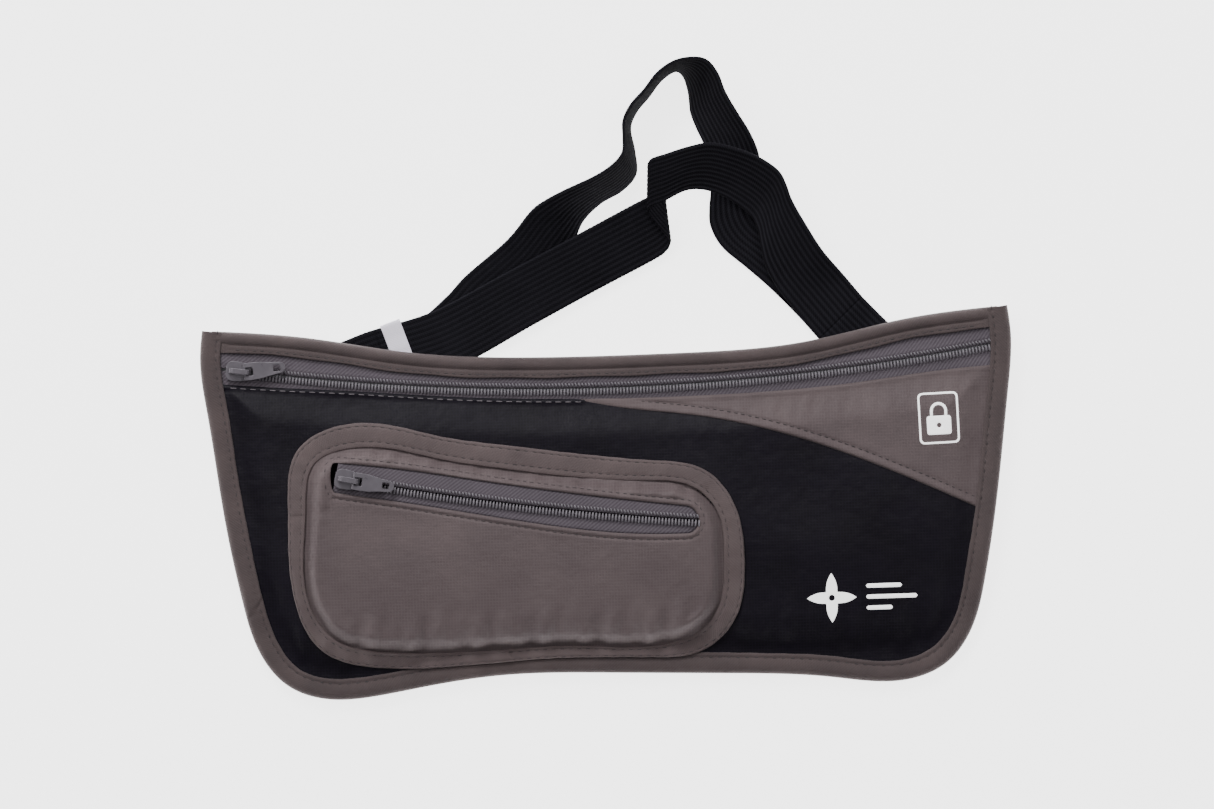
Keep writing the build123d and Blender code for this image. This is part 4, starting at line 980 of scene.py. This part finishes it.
def pocket_trim():
    path = curve(POCKET_OUT, 0.6, closed=True)
    inward = -normals(path, closed=True)
    gap = np.linalg.norm(path[:, None] - POCKET_HOLE[None], axis=2).min(axis=1)
    for _ in range(30):
        gap = (np.roll(gap, 1) + 2 * gap + np.roll(gap, -1)) / 4
    section = [
        (0, 0.15), (0, 0.7), (0.02, 1.1), (0.05, 1.36), (0.09, 1.44), (0.12, 1.38), (0.145, 1.24),
        (0.17, 1.36), (0.2, 1.48), (0.28, 1.58), (0.42, 1.62), (0.56, 1.62), (0.67, 1.58), (0.72, 1.5),
        (0.755, 1.34), (0.79, 1.48), (0.86, 1.58), (0.92, 1.58), (0.97, 1.5), (1.0, 1.25), (0.98, 0.98),
        (0.7, 0.95), (0.4, 0.92), (0.2, 0.9), (0.14, 0.15)
    ]
    f, high = np.array(section)[:, 0], np.array(section)[:, 1]
    inn = gap[:, None] * f[None, :]
    total = len(path) * 0.6
    join_at = total * 0.725

    def lay(x, y, z, s, n):
        k = n / gap[:, None]
        top = smooth((z - 1.0) / 0.3)
        pull = stitch_dimple(s, 3.1)
        pucker = (
            0.5 * ripple(s, 0 * s, 0, 9.3, 0.7) + 0.35 * ripple(s, 0 * s, 0, 6.1)
            + 0.3 * ripple(s, 0 * s, 0, 23)
        )
        z = z + top * (
            0.16 * pucker * bell((k - 0.5) / 0.3)
            + 0.16 * pull * (bell((k - 0.755) / 0.05) + bell((k - 0.145) / 0.04))
        )
        join = s - (join_at + 0.5 * (n - 3))
        z = z + top * (
            0.4 * smooth((join + 0.5) / 0.9) * (1 - smooth((join - 9) / 8)) - 0.2 * bell((join + 0.6) / 0.5)
        )
        edge = 0.08 * ripple(s, 0 * s, 0, 37) + 0.04 * ripple(s, 0 * s, 0, 8.7, 1.0)
        x = x + inward[:, 0, None] * edge
        y = y + inward[:, 1, None] * edge
        return x, y, z + bed(x, y)

    profile = (inn, high)
    obj = swept(
        "pocket_binding_tape", path, inward, profile, RING, ("pocket_binding",), closed=True, extra=lay
    )
    return path, inward, gap


# ---- sliders and pulls ---------------------------------------------------------------------
PIN_U = 6.9


def on_chain(centre, radius, angle, turn):
    a = math.radians(angle)
    at = (centre[0] + radius * math.cos(a), centre[1] + radius * math.sin(a))
    t = a + math.radians(90 + turn)
    return at, t


def spot(at, t):
    c, s = math.cos(t), math.sin(t)
    return lambda q: (at[0] + q[0] * c - q[1] * s, at[1] + q[0] * s + q[1] * c, q[2])


def rounded_loop(points, radius=0.8, steps=5):
    """A polygon with its corners rounded."""
    out, n = [], len(points)
    for i in range(n):
        a, b, c = (np.array(points[(i + k) % n], float) for k in (-1, 0, 1))
        p0 = b + (a - b) / np.linalg.norm(a - b) * min(radius, np.linalg.norm(a - b) * 0.45)
        p1 = b + (c - b) / np.linalg.norm(c - b) * min(radius, np.linalg.norm(c - b) * 0.45)
        for t in np.linspace(0, 1, steps):
            out.append(tuple((1 - t) ** 2 * p0 + 2 * t * (1 - t) * b + t * t * p1))
    return out


def hard(name, shape, material, body, node, edge=0.22):
    v, f, uv = shape.arrays()
    obj = rounded(piece(name, v, f, material, body, (node,), uv), edge, 3)
    obj.modifiers["edges"].harden_normals = True
    return obj


def slider(name, at, t, tape, body, node):
    top, low = tape + TAPE_T + COIL_H + 0.12, tape - 0.82
    place = spot(at, t)
    shape = Shape()
    plate = [(0, -2.4), (1.6, -3.6), (4.6, -3.6), (9.0, -2.9), (9.0, 2.9), (4.6, 3.6), (1.6, 3.6), (0, 2.4)]
    for base in (low, top):
        shape.prism(rounded_loop(plate, 1.2), base, base + 0.7, place)
    shape.prism([(0.1, -0.3), (2.3, -0.3), (2.3, 0.3), (0.1, 0.3)], low + 0.5, top + 0.2, place)
    for side in (-1, 1):
        rail = [(1.6, side * 2.55), (7.2, side * 2.55), (7.2, side * 3.15), (1.6, side * 3.15)]
        shape.prism(rail if side > 0 else rail[::-1], top - 0.7, top + 0.2, place)
    # raised spine and the bridge that holds the pull
    arch = [
        (1.0, -0.1), (1.4, 2.0), (2.4, 2.6), (7.6, 2.6), (8.5, 1.9), (8.8, -0.1), (7.9, -0.1), (7.7, 1.4),
        (7.2, 1.7), (2.8, 1.7), (2.2, 1.3), (2.0, -0.1)
    ]
    base = top + 0.7
    side_place = lambda q: place((q[0], -q[2], base + q[1]))
    shape.prism(rounded_loop(arch, 0.35, 4), -0.95, 0.95, side_place)
    return hard(name, shape, ENAMEL, body, node)


def pull_tab(name, at, t, tape, turn, body, node):
    c, s = math.cos(t), math.sin(t)
    pin = (at[0] + PIN_U * c, at[1] + PIN_U * s)
    t2 = t + math.radians(turn)
    place = spot((pin[0] - PIN_U * math.cos(t2), pin[1] - PIN_U * math.sin(t2)), t2)
    level = tape + TAPE_T + COIL_H + 0.12 + 0.7 + 0.85
    z0, z1 = level - 0.5, level + 0.5
    stations = [
        (0.0, 2.7, 1.5, 1), (0.35, 3.1, 1.5, 1), (1.5, 3.15, 1.5, 1), (3.0, 3.15, 1.5, 0),
        (4.2, 3.1, 1.4, 0), (6.0, 3.0, 1.3, 0), (8.2, 2.62, 1.2, 0), (10.45, 2.27, 1.15, 1),
        (11.7, 2.15, 1.15, 1), (12.95, 2.02, 1.15, 0), (13.6, 1.85, 1.05, 0), (14.15, 1.5, 0.85, 0),
        (14.5, 1.1, 0.62, 0), (14.7, 0.6, 0.34, 0)
    ]
    verts = []
    for z in (z0, z1):
        for u, w, h, _ in stations:
            verts += [place((PIN_U + u, v, z)) for v in (-w, -h, h, w)]
    n = len(stations)
    low, high = (lambda i, j: i * 4 + j), (lambda i, j: (n + i) * 4 + j)
    faces = []
    for i in range(n - 1):
        for j in range(3):
            if j == 1 and stations[i][3]:
                faces.append([low(i, 1), high(i, 1), high(i + 1, 1), low(i + 1, 1)])
                faces.append([low(i, 2), low(i + 1, 2), high(i + 1, 2), high(i, 2)])
                if not (i and stations[i - 1][3]) and i:
                    faces.append([low(i, 1), low(i, 2), high(i, 2), high(i, 1)])
                if not stations[i + 1][3]:
                    faces.append([low(i + 1, 1), high(i + 1, 1), high(i + 1, 2), low(i + 1, 2)])
                continue
            faces.append([high(i, j), high(i + 1, j), high(i + 1, j + 1), high(i, j + 1)])
            faces.append([low(i, j), low(i, j + 1), low(i + 1, j + 1), low(i + 1, j)])
        faces.append([low(i, 0), low(i + 1, 0), high(i + 1, 0), high(i, 0)])
        faces.append([low(i, 3), high(i, 3), high(i + 1, 3), low(i + 1, 3)])
    for j in (0, 2):
        faces.append([low(0, j), high(0, j), high(0, j + 1), low(0, j + 1)])
    for j in range(3):
        faces.append([low(n - 1, j), low(n - 1, j + 1), high(n - 1, j + 1), high(n - 1, j)])
    shape = Shape()
    shape.add(verts, faces)
    # round bar through the bridge
    bar = [
        (PIN_U + 0.5 * math.cos(a), level + 0.5 * math.sin(a)) for a in np.linspace(0, 2 * math.pi, 13)[:-1]
    ]
    shape.prism(bar[::-1], -3.0, 3.0, lambda q: place((q[0], q[2], q[1])))
    return hard(name, shape, ENAMEL, body, node, 0.2)


def sliders():
    main_angle = math.degrees(arc_at(MAIN_C, MAIN_R, -137.6))
    at, t = on_chain(MAIN_C, MAIN_R, main_angle, 1.0)
    slider("main_slider_body", at, t, TAPE_Z, "main_slider", "main_zip_slider")
    pull_tab("main_pull_tab", at, t, TAPE_Z, 14.0, "main_pull", "main_zip_pull")
    at, t = on_chain(POCKET_C, POCKET_R, math.degrees(pocket_angle(-66.6)), 0.4)
    slider("pocket_slider_body", at, t, PTAPE_Z, "pocket_slider", "pocket_zip_slider")
    pull_tab("pocket_pull_tab", at, t, PTAPE_Z, 1.1, "pocket_pull", "pocket_zip_pull")


# ---- waist strap ---------------------------------------------------------------------------
LEFT_START, LEFT_TURN = p(-140, -10), 19.0
RIGHT_START, RIGHT_TURN = p(85.8, 19.7), -47.0
SOCKET_S0, PLUG_S1, GLIDE_R = 9.5, 44.5, 32.0
BAR_S, PLUG_BAR = SOCKET_S0 + 3.2, PLUG_S1 - 2.0
LOOP_END = PLUG_BAR + 2.2


def left(along, z):
    return flat(LEFT_START, LEFT_TURN, along, z)


def right(along, z):
    return flat(RIGHT_START, RIGHT_TURN, along, z)


def flat(start, turn, along, z):
    """Both edges of the strap lying across a straight run, its middle at height z."""
    c, s = math.cos(math.radians(turn)), math.sin(math.radians(turn))
    x, y, h = start[0] + along * c, start[1] + along * s + Y_MID, STRAP_W / 2
    return (x - s * h, y + c * h, z, x + s * h, y - c * h, z)


# each row: upper or outer edge x, y, z then lower or inner edge x, y, z
FRONT = [
    left(LOOP_END, 3.65), left(LOOP_END + 4, 3.2), left(LOOP_END + 9, 1.9), left(63, 2.05),
    (-62, 27.0, 2.1, -52.4, 7.2, 2.05), (-35, 40.2, 5.4, -25.2, 21.2, 2.3),
    (-12, 51.4, 7.8, -2.6, 32.7, 1.9), (10, 62.3, 9.5, 18.8, 43.2, 1.7),
    (16.6, 65.4, 10.2, 23.2, 46.2, 2.2), (20.8, 67.4, 10.9, 24.6, 48.2, 3.2),
    (22.7, 69.2, 12.8, 24.5, 50.0, 5.0), (21.9, 71.3, 15.4, 22.6, 52.4, 6.8),
    (19.8, 74.0, 18.2, 19.6, 56.2, 8.6), (18.0, 76.3, 20.4, 17.4, 59.4, 10.0),
    (17.7, 78.0, 22.0, 16.9, 61.0, 11.2), (19.3, 79.3, 22.9, 18.3, 62.3, 12.1),
    (24, 80.6, 23.2, 22.7, 63.9, 11.9), (32, 82.9, 22.4, 30.5, 67.6, 9.4),
    (40.2, 84.2, 20.8, 37, 67.9, 6.8), (49, 82.2, 18.9, 44.1, 65.6, 5.2),
    (57.5, 78.7, 16.6, 50, 61.7, 4.6), (64.3, 73.8, 15.2, 54.5, 57.5, 4.4),
    (67.0, 69.0, 14.2, 56.7, 52.5, 4.4), (69.3, 62.5, 12.6, 57.7, 46, 4.3),
    (74.5, 53, 10.0, 59, 39.4, 4.0), (80, 44.2, 6.4, 63, 31.4, 3.2), (87, 35.8, 2.4, 69.8, 22.2, 2.2),
    right(0, 1.9)
]
RIGHT_END = [right(0, 1.9), right(8, 1.9), right(20, 4.0), right(GLIDE_R - 1.6, 4.0)]
BACK = [
    left(LOOP_END, 0.95), left(LOOP_END + 6, 0.6), left(63, 0.6), (-69.3, 23.0, 0.6, -61.3, 2.5, 0.6),
    (-57.3, 32.0, 0.6, -45.3, 13.6, 0.6), (-49.8, 39.6, 0.8, -36.3, 22.2, 0.6),
    (-34.5, 51.8, 5.2, -20.8, 36.2, 0.7), (-25.5, 61.9, 9.6, -13, 46, 0.7),
    (-20, 65.6, 13.6, -9.6, 52, 0.8), (-13, 68.8, 17.6, -6.2, 58.6, 0.9),
    (-2.6, 73.0, 20.4, 0, 64.4, 0.9), (4.2, 77.0, 20.8, 7.7, 68.6, 0.9),
    (8.4, 81.6, 21.0, 12.9, 74.4, 0.9), (9.0, 87, 21.6, 12.7, 82.6, 0.9),
    (9.2, 93, 22.2, 11.4, 91, 0.8), (12, 98.6, 22.3, 13.8, 97.0, 0.7),
    (17, 103.9, 22.3, 18.5, 102.4, 0.7), (22, 109.9, 22.3, 23.2, 108.2, 0.7),
    (28, 113.8, 22.0, 28.4, 111.4, 0.8), (34.5, 115.1, 21.4, 31.4, 109.4, 0.9),
    (39.8, 114.2, 19.0, 33, 104, 0.9), (43.6, 109.6, 17.4, 33.4, 99.6, 0.9),
    (46.2, 102.6, 16.8, 33.8, 95.6, 0.9), (50, 95.6, 16.0, 35.6, 90.4, 0.9),
    (54.6, 87.8, 13.6, 38.3, 84.0, 0.8), (57.4, 81, 10.4, 39.9, 76.4, 0.7),
    (58.6, 74, 7.6, 40.1, 68.0, 0.6), (59.8, 67, 5.0, 39.3, 61.0, 0.6),
    (61.4, 61.2, 2.6, 39.6, 54.4, 0.6), (63.6, 58.2, 1.0, 43.6, 46.8, 0.6),
    (67.2, 55.2, 0.6, 52.4, 38.9, 0.6), (76, 47.0, 0.6, 60.8, 31.1, 0.6),
    (86.2, 36.2, 0.6, 70.4, 20.9, 0.6), right(0, 0.6), right(8, 0.6)
]
BACK_END = [
    right(8, 0.6), right(22, 2.0), right(23, 2.0), right(59, 2.0), right(60, 2.0), right(65, 4.0),
    right(70, 4.0)
]
PLUG_LOOP = [
    left(LOOP_END, 0.95), left(PLUG_BAR - 1.6, 0.95), left(PLUG_BAR - 2.6, 1.4),
    left(PLUG_BAR - 2.85, 2.3), left(PLUG_BAR - 2.6, 3.2), left(PLUG_BAR - 1.6, 3.65),
    left(LOOP_END, 3.65)
]
TAB_LOOP = [
    left(1.0, 1.5), left(4, 1.4), left(BAR_S - 3.4, 0.7), left(BAR_S + 1.0, 0.7),
    left(BAR_S + 1.9, 1.2), left(BAR_S + 2.1, 2.3), left(BAR_S + 1.9, 3.3), left(BAR_S + 1.0, 3.85),
    left(BAR_S - 3.4, 3.85), left(4, 3.9), left(1.0, 3.95)
]
END_HOOK = [
    right(GLIDE_R - 1.6, 4.0), right(GLIDE_R + 1.0, 4.0), right(GLIDE_R + 1.75, 3.6),
    right(GLIDE_R + 1.85, 2.9)
]


def between(rows, steps=14):
    """Smooth path through the rows, the same number of steps in each stretch."""
    q = np.array(rows, float)
    q = np.vstack([q[:1], q, q[-1:]])
    t = (np.arange(steps) / steps)[:, None]
    w = (-t + 2 * t * t - t**3, 2 - 5 * t * t + 3 * t**3, t + 4 * t * t - 3 * t**3, t**3 - t * t)
    out = [sum(w[k] * q[i + k] for k in range(4)) / 2 for i in range(len(rows) - 1)]
    out = np.vstack(out + [q[-1:]])
    out[:, [2, 5]] = np.maximum(out[:, [2, 5]], STRAP_T / 2)
    return out


def strap(
    name, path, stands_for, body="pouch", bend=None, width=STRAP_W, run_in=None, run_out=None
):
    """Ribbed webbing of even thickness along a path of edge pairs."""
    a, b = path[:, :3].copy(), path[:, 3:].copy()
    a[:, 1] -= Y_MID
    b[:, 1] -= Y_MID
    mid = (a + b) / 2
    s = np.r_[0, np.cumsum(np.linalg.norm(np.diff(mid, axis=0), axis=1))]
    want = np.linspace(0, s[-1], max(6, int(s[-1] / 0.8)))
    a, b = (np.stack([np.interp(want, s, e[:, k]) for k in range(3)], axis=1) for e in (a, b))
    mid, s = (a + b) / 2, want
    run = np.gradient(mid, axis=0)
    if run_in:
        run[0] = [math.cos(math.radians(run_in)), math.sin(math.radians(run_in)), 0]
    if run_out:
        run[-1] = [math.cos(math.radians(run_out)), math.sin(math.radians(run_out)), 0]
    across = a - b
    full = np.linalg.norm(across, axis=1)[:, None] * width / STRAP_W
    across /= np.linalg.norm(across, axis=1)[:, None]
    up = np.cross(across, run) * -1.0
    up /= np.linalg.norm(up, axis=1)[:, None]
    v = np.linspace(-0.5, 0.5, 67)
    rib = np.abs(np.cos(math.pi * 11 * (v + 0.5))) ** 0.7
    half = STRAP_T / 2 - 0.19 + 0.19 * rib
    half = half * np.sqrt(np.clip(1 - np.clip((np.abs(v) - 0.478) / 0.024, 0, 1) ** 2, 0.08, 1))
    off = np.r_[v, v[::-1]]
    lift = np.r_[half, -half[::-1]]
    scallop = (
        0.07 * np.sin(s * 2 * math.pi / 1.6)[:, None] * np.sign(off) * smooth((np.abs(off) - 0.46) / 0.04)
    )
    verts = (
        mid[:, None] + across[:, None] * (off[None] * full + scallop)[..., None]
        + up[:, None] * lift[None, :, None]
    )
    verts[..., 2] = np.maximum(verts[..., 2], 0.0)
    n, m = len(s), len(off)
    faces = quads(n, m, wrap_cols=True)[:, ::-1].tolist()
    faces += [list(range(m)), list(range((n - 1) * m, n * m))[::-1]]
    uv = np.stack([np.broadcast_to(s[:, None], (n, m)), np.broadcast_to(off * STRAP_W, (n, m))], axis=-1)
    obj = piece(
        name, verts.reshape(-1, 3), faces, ELASTIC, None if bend else body, stands_for, uv.reshape(-1, 2)
    )
    if bend:
        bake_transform(obj)
    return obj


def along_left(s):
    c, t = math.cos(math.radians(LEFT_TURN)), math.sin(math.radians(LEFT_TURN))
    return (LEFT_START[0] + s * c, LEFT_START[1] + s * t)


def along_right(s):
    c, t = math.cos(math.radians(RIGHT_TURN)), math.sin(math.radians(RIGHT_TURN))
    return (RIGHT_START[0] + s * c, RIGHT_START[1] + s * t)


def straps():
    steps = 14
    front, back = between(FRONT, steps), between(BACK, steps)
    strap("strap_loop", between(PLUG_LOOP), ("strap_plug_loop",), "plug")
    strap("buckle_webbing", between(TAB_LOOP), ("buckle_tab",))
    end = between(END_HOOK, 6)
    strap("strap_end_turn", end, ("strap_end_hook",), "glide", width=STRAP_W - 0.4)
    bend = ("pouch", "plug", along_left(62), along_left(LOOP_END + 0.5))
    start = front[: 3 * steps + 1]
    strap(
        "strap_front_start", start, ("strap_front_left_end",), bend=bend, run_in=LEFT_TURN,
    )
    rest = ("strap_front_left_run", "strap_front_fold", "strap_front_arch")
    strap("strap_front_run", front[3 * steps :], rest, run_out=RIGHT_TURN)
    bend = ("pouch", "glide", along_right(1.0), along_right(GLIDE_R - 3))
    end = between(RIGHT_END, steps)
    strap(
        "strap_front_end", end, ("strap_front_right_end",), bend=bend, run_in=RIGHT_TURN,
    )
    bend = ("pouch", "plug", along_left(62), along_left(LOOP_END + 0.5))
    start = back[: 2 * steps + 1]
    strap(
        "strap_back_start", start, ("strap_back_left_end",), bend=bend, run_in=LEFT_TURN
    )
    rest = ("strap_back_left_run", "strap_back_arch", "strap_back_right_run")
    strap("strap_back_run", back[2 * steps :], rest, run_out=RIGHT_TURN)
    strap(
        "strap_back_end", between(BACK_END, steps), ("strap_back_right_end",), run_in=RIGHT_TURN,
    )


def care_label():
    c, s = math.cos(math.radians(LEFT_TURN)), math.sin(math.radians(LEFT_TURN))
    origin = along_left(69.5)
    v = np.r_[np.linspace(-10.6, 10.6, 60), 11.1, 11.35, 11.45, 11.5]
    z = np.r_[np.full(60, 2.92), 2.86, 2.6, 2.1, 1.2]
    z = z + 0.16 * np.r_[ripple(v[:60], 0 * v[:60], 0, 8.5, 0.3), 0, 0, 0, 0] + 0.12
    u = np.linspace(-3.7, 3.7, 16)
    uu, vv = np.meshgrid(u, v, indexing="ij")
    zz = np.broadcast_to(z, uu.shape) + 0.1 * np.abs(uu / 3.7) ** 4
    x = origin[0] + uu * c - vv * s
    y = origin[1] + uu * s + vv * c
    faces = quads(len(u), len(v))
    verts = np.stack([x, y, zz], axis=-1).reshape(-1, 3)
    uv = np.stack([uu, vv], axis=-1).reshape(-1, 2)
    obj = piece("care_tag", verts, faces, SATIN, "pouch", ("care_label",), uv)
    thick(obj, 0.22, 1.0)


# ---- printed marks -------------------------------------------------------------------------
def mark_surface(x, y):
    """Cloth surface under a print: the wedge to the upper right, the front elsewhere."""
    return front_top(x, y) + np.where(y > wedge_y(x) + 2.0, 0.62, 0.0) * (x > 0) + sag(y) + 0.05


def ring_band(shape, centre, outer, inner, turn=0.0, steps=5):
    """The part between two closed outlines with the same number of points."""
    a, b = np.array(outer), np.array(inner)
    t = np.linspace(0, 1, steps)[:, None, None]
    q = (a[None] * (1 - t) + b[None] * t).reshape(-1, 2)
    c, s = math.cos(math.radians(turn)), math.sin(math.radians(turn))
    x, y = centre[0] + q[:, 0] * c - q[:, 1] * s, centre[1] + q[:, 0] * s + q[:, 1] * c
    shape.add(np.stack([x, y, mark_surface(x, y)], axis=1), quads(steps, len(a), wrap_cols=True))


def around(w, h, r, count=96, dx=0.0, dy=0.0):
    """Rounded rectangle as a star of points at even angles."""
    out = []
    for a in np.linspace(0, 2 * math.pi, count, endpoint=False):
        d = np.array([math.cos(a), math.sin(a)])
        lo, hi = 0.0, math.hypot(w, h)
        for _ in range(22):
            m = (lo + hi) / 2
            q = np.abs(d * m) - [w / 2 - r, h / 2 - r]
            far = np.linalg.norm(np.maximum(q, 0)) + min(max(q), 0) - r
            lo, hi = (m, hi) if far < 0 else (lo, m)
        out.append((d[0] * lo + dx, d[1] * lo + dy))
    return out


def marks():
    at = p(119.6, -17.6)
    shape = Shape()
    ring_band(shape, at, around(14.6, 18.6, 1.8), around(13.2, 17.2, 1.2), 1.4)
    ring_band(shape, at, around(8.8, 6.8, 0.9, dy=-2.6), around(1.7, 1.7, 0.85, dy=-2.6), 1.4)
    # shackle: half a ring and two short legs
    t = np.linspace(0, math.pi, 25)
    outer, inner = (
        [(r, 0.6)] + [(r * math.cos(a), 2.6 + r * math.sin(a)) for a in t] + [(-r, 0.6)]
        for r in (3.1, 2.1)
    )
    q = np.vstack([outer, inner])
    x, y = at[0] + q[:, 0], at[1] + q[:, 1]
    n = len(outer)
    shape.add(
        np.stack([x, y, mark_surface(x, y)], axis=1),
        [[i, i + 1, n + i + 1, n + i] for i in range(n - 1)]
    )
    v, f, uv = shape.arrays()
    thick(piece("padlock_print", v, f, INK, "pouch", ("security_print",), uv), 0.05, 1.0)

    at = p(79.0, -81.5)
    shape = Shape()
    count = 96
    star, hole = [], []
    for k in range(count):
        a = 2 * math.pi * k / count
        fold = abs((a * 4 / (2 * math.pi)) % 1 - 0.5) * 2
        r = 3.0 + 6.0 * fold**1.6
        star.append((r * math.cos(a), r * math.sin(a)))
        hole.append((1.1 * math.cos(a), 1.1 * math.sin(a)))
    ring_band(shape, at, star, hole, steps=8)
    for row, long in ((4.0, 13.0), (0.0, 18.5), (-4.0, 9.5)):
        u = np.linspace(0, long, int(long / 0.5))
        v = np.array([-0.75, 0, 0.75])
        thin = (
            np.sqrt(np.clip(1 - np.clip(1 - u / 0.75, 0, 1) ** 2, 0.02, 1)) * np.sqrt(
                np.clip(1 - np.clip(1 - (long - u) / 0.75, 0, 1) ** 2, 0.02, 1)
            )
        )
        x = np.broadcast_to(at[0] + 12.5 + u[None], (3, len(u)))
        y = at[1] + row + v[:, None] * thin[None]
        shape.add(np.stack([x, y, mark_surface(x, y)], axis=-1), quads(3, len(u)))
    v, f, uv = shape.arrays()
    thick(piece("compass_print", v, f, INK, "pouch", ("maker_print",), uv), 0.05, 1.0)


# ---- stitching -----------------------------------------------------------------------------
def stitching(side_path, side_in, top_path, top_in, ring_path, ring_in, ring_gap):
    side = side_path + side_in * 5.85
    high = 8.86
    line_of_threads(
        "stitches_side", side, lambda x, y: high + 0 * x, 3.3, 1.5, 0.34, THREAD_PAINTED_SHADE, "edge_binding", 0.1
    )
    top = top_path + top_in * 6.4
    top = top[np.abs(top[:, 0]) < 133]
    line_of_threads(
        "stitches_top", top, lambda x, y: 8.86 + 0 * x, 2.9, 1.7, 0.32, THREAD_PAINTED_SHADE, "top_binding", 0.08
    )
    for name, share, extra in (("outer", 0.145, 1.3), ("inner", 0.755, 1.4)):
        path = ring_path + ring_in * (ring_gap * share)[:, None]
        line_of_threads(
            "stitches_ring_" + name, path, lambda x, y: bed(x, y) + extra, 3.1, 1.7, 0.32, THREAD_PAINTED_SHADE,
            "pocket_binding", 0.06, closed=True
        )
    wedge = WEDGE_LINE + normals(WEDGE_LINE) * 3.3
    wedge = wedge[
        (distance(wedge[:, 0], wedge[:, 1], OUTLINE) > 8.0) & (wedge[:, 1] < seam_y(wedge[:, 0]) - 1.2)
    ]
    line_of_threads(
        "stitches_wedge", wedge, lambda x, y: front_top(x, y) + 0.36, 2.6, 1.7, 0.34, THREAD_PAINTED_SHADE,
        "accent_panel", 0.1
    )
    keep = WINDOW + normals(WINDOW, closed=True) * 2.1
    line_of_threads(
        "stitches_window", keep, pocket_cloth_z, 2.6, 1.7, 0.32, THREAD_PAINTED_SHADE, "pocket_panel", 0.1,
        closed=True
    )
    seam = SEAM_LINE - normals(SEAM_LINE) * 1.1
    seam = seam[(seam[:, 0] > -136) & (seam[:, 0] < -10)]
    line_of_threads(
        "stitches_seam", seam, lambda x, y: front_top(x, y) + 0.2, 3.6, 2.5, 0.3, THREAD_PALE,
        "front_panel", 0.06
    )


def hardware():
    """The hidden buckle and adjuster keep their CAD shapes, with moulded plastic and soft edges."""
    for node in ("buckle_socket", "buckle_plug", "buckle_prong_upper", "buckle_prong_lower", "tri_glide"):
        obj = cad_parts[node]
        obj.data.materials.clear()
        obj.data.materials.append(PLASTIC)
        rounded(obj, 0.3, 2, 50)


# ---- floor, light and camera ---------------------------------------------------------------
def stage():
    n = Nodes("floor_paper")
    where = n.add("ShaderNodeTexCoord").outputs["Object"]
    tone = n.ramp(
        n.noise(40.0, 2.0, vector=where), [(0.3, srgb(246, 246, 247)), (0.7, srgb(250, 250, 251))]
    )
    mat = n.surface(tone, 0.9, None, Specular_IOR_Level=0.1)
    n.shader.inputs["Emission Color"].default_value = (1, 1, 1, 1)
    n.shader.inputs["Emission Strength"].default_value = 3.2
    mesh = bpy.data.meshes.new("floor")
    half = 3.0
    mesh.from_pydata(
        [(-half, -half, 0), (half, -half, 0), (half, half, 0), (-half, half, 0)], [], [(0, 1, 2, 3)]
    )
    mesh.materials.append(mat)
    floor = bpy.data.objects.new("floor", mesh)
    floor.location.z = -0.0003
    bpy.context.scene.collection.objects.link(floor)

    world = bpy.data.worlds.new("studio")
    world.use_nodes = True
    world.node_tree.nodes["Background"].inputs[0].default_value = (1, 1, 1, 1)
    world.node_tree.nodes["Background"].inputs[1].default_value = 0.22
    bpy.context.scene.world = world
    for name, place, size, power in (
        ("softbox_top", (-0.35, 1.35, 1.15), 0.7, 21.0),
        ("softbox_left", (-0.95, 0.6, 1.3), 0.8, 7.0),
        ("softbox_right", (0.9, 0.3, 1.5), 0.9, 5.0),
    ):
        light = bpy.data.lights.new(name, "AREA")
        light.energy, light.size = power, size
        lamp = bpy.data.objects.new(name, light)
        lamp.location = place
        lamp.rotation_euler = (-Vector(place)).to_track_quat("-Z", "Y").to_euler()
        bpy.context.scene.collection.objects.link(lamp)


def camera():
    cam = bpy.data.cameras.new("camera")
    cam.lens, cam.sensor_width = 204.0, 36.0
    obj = bpy.data.objects.new("camera", cam)
    obj.location = (-0.00011, -0.0102, 2.5)
    obj.rotation_euler = (0, 0, math.radians(-1.85))
    cam.clip_end = 20
    bpy.context.scene.collection.objects.link(obj)
    bpy.context.scene.camera = obj


front_cloth()
accent_cloth()
back_cloth()
shields()
side_path, side_in = side_trim()
top_path, top_in = top_trim()
main_zip()
pocket_cloth()
ring_path, ring_in, ring_gap = pocket_trim()
pocket_zip()
sliders()
straps()
care_label()
marks()
stitching(side_path, side_in, top_path, top_in, ring_path, ring_in, ring_gap)
hardware()
stage()
camera()
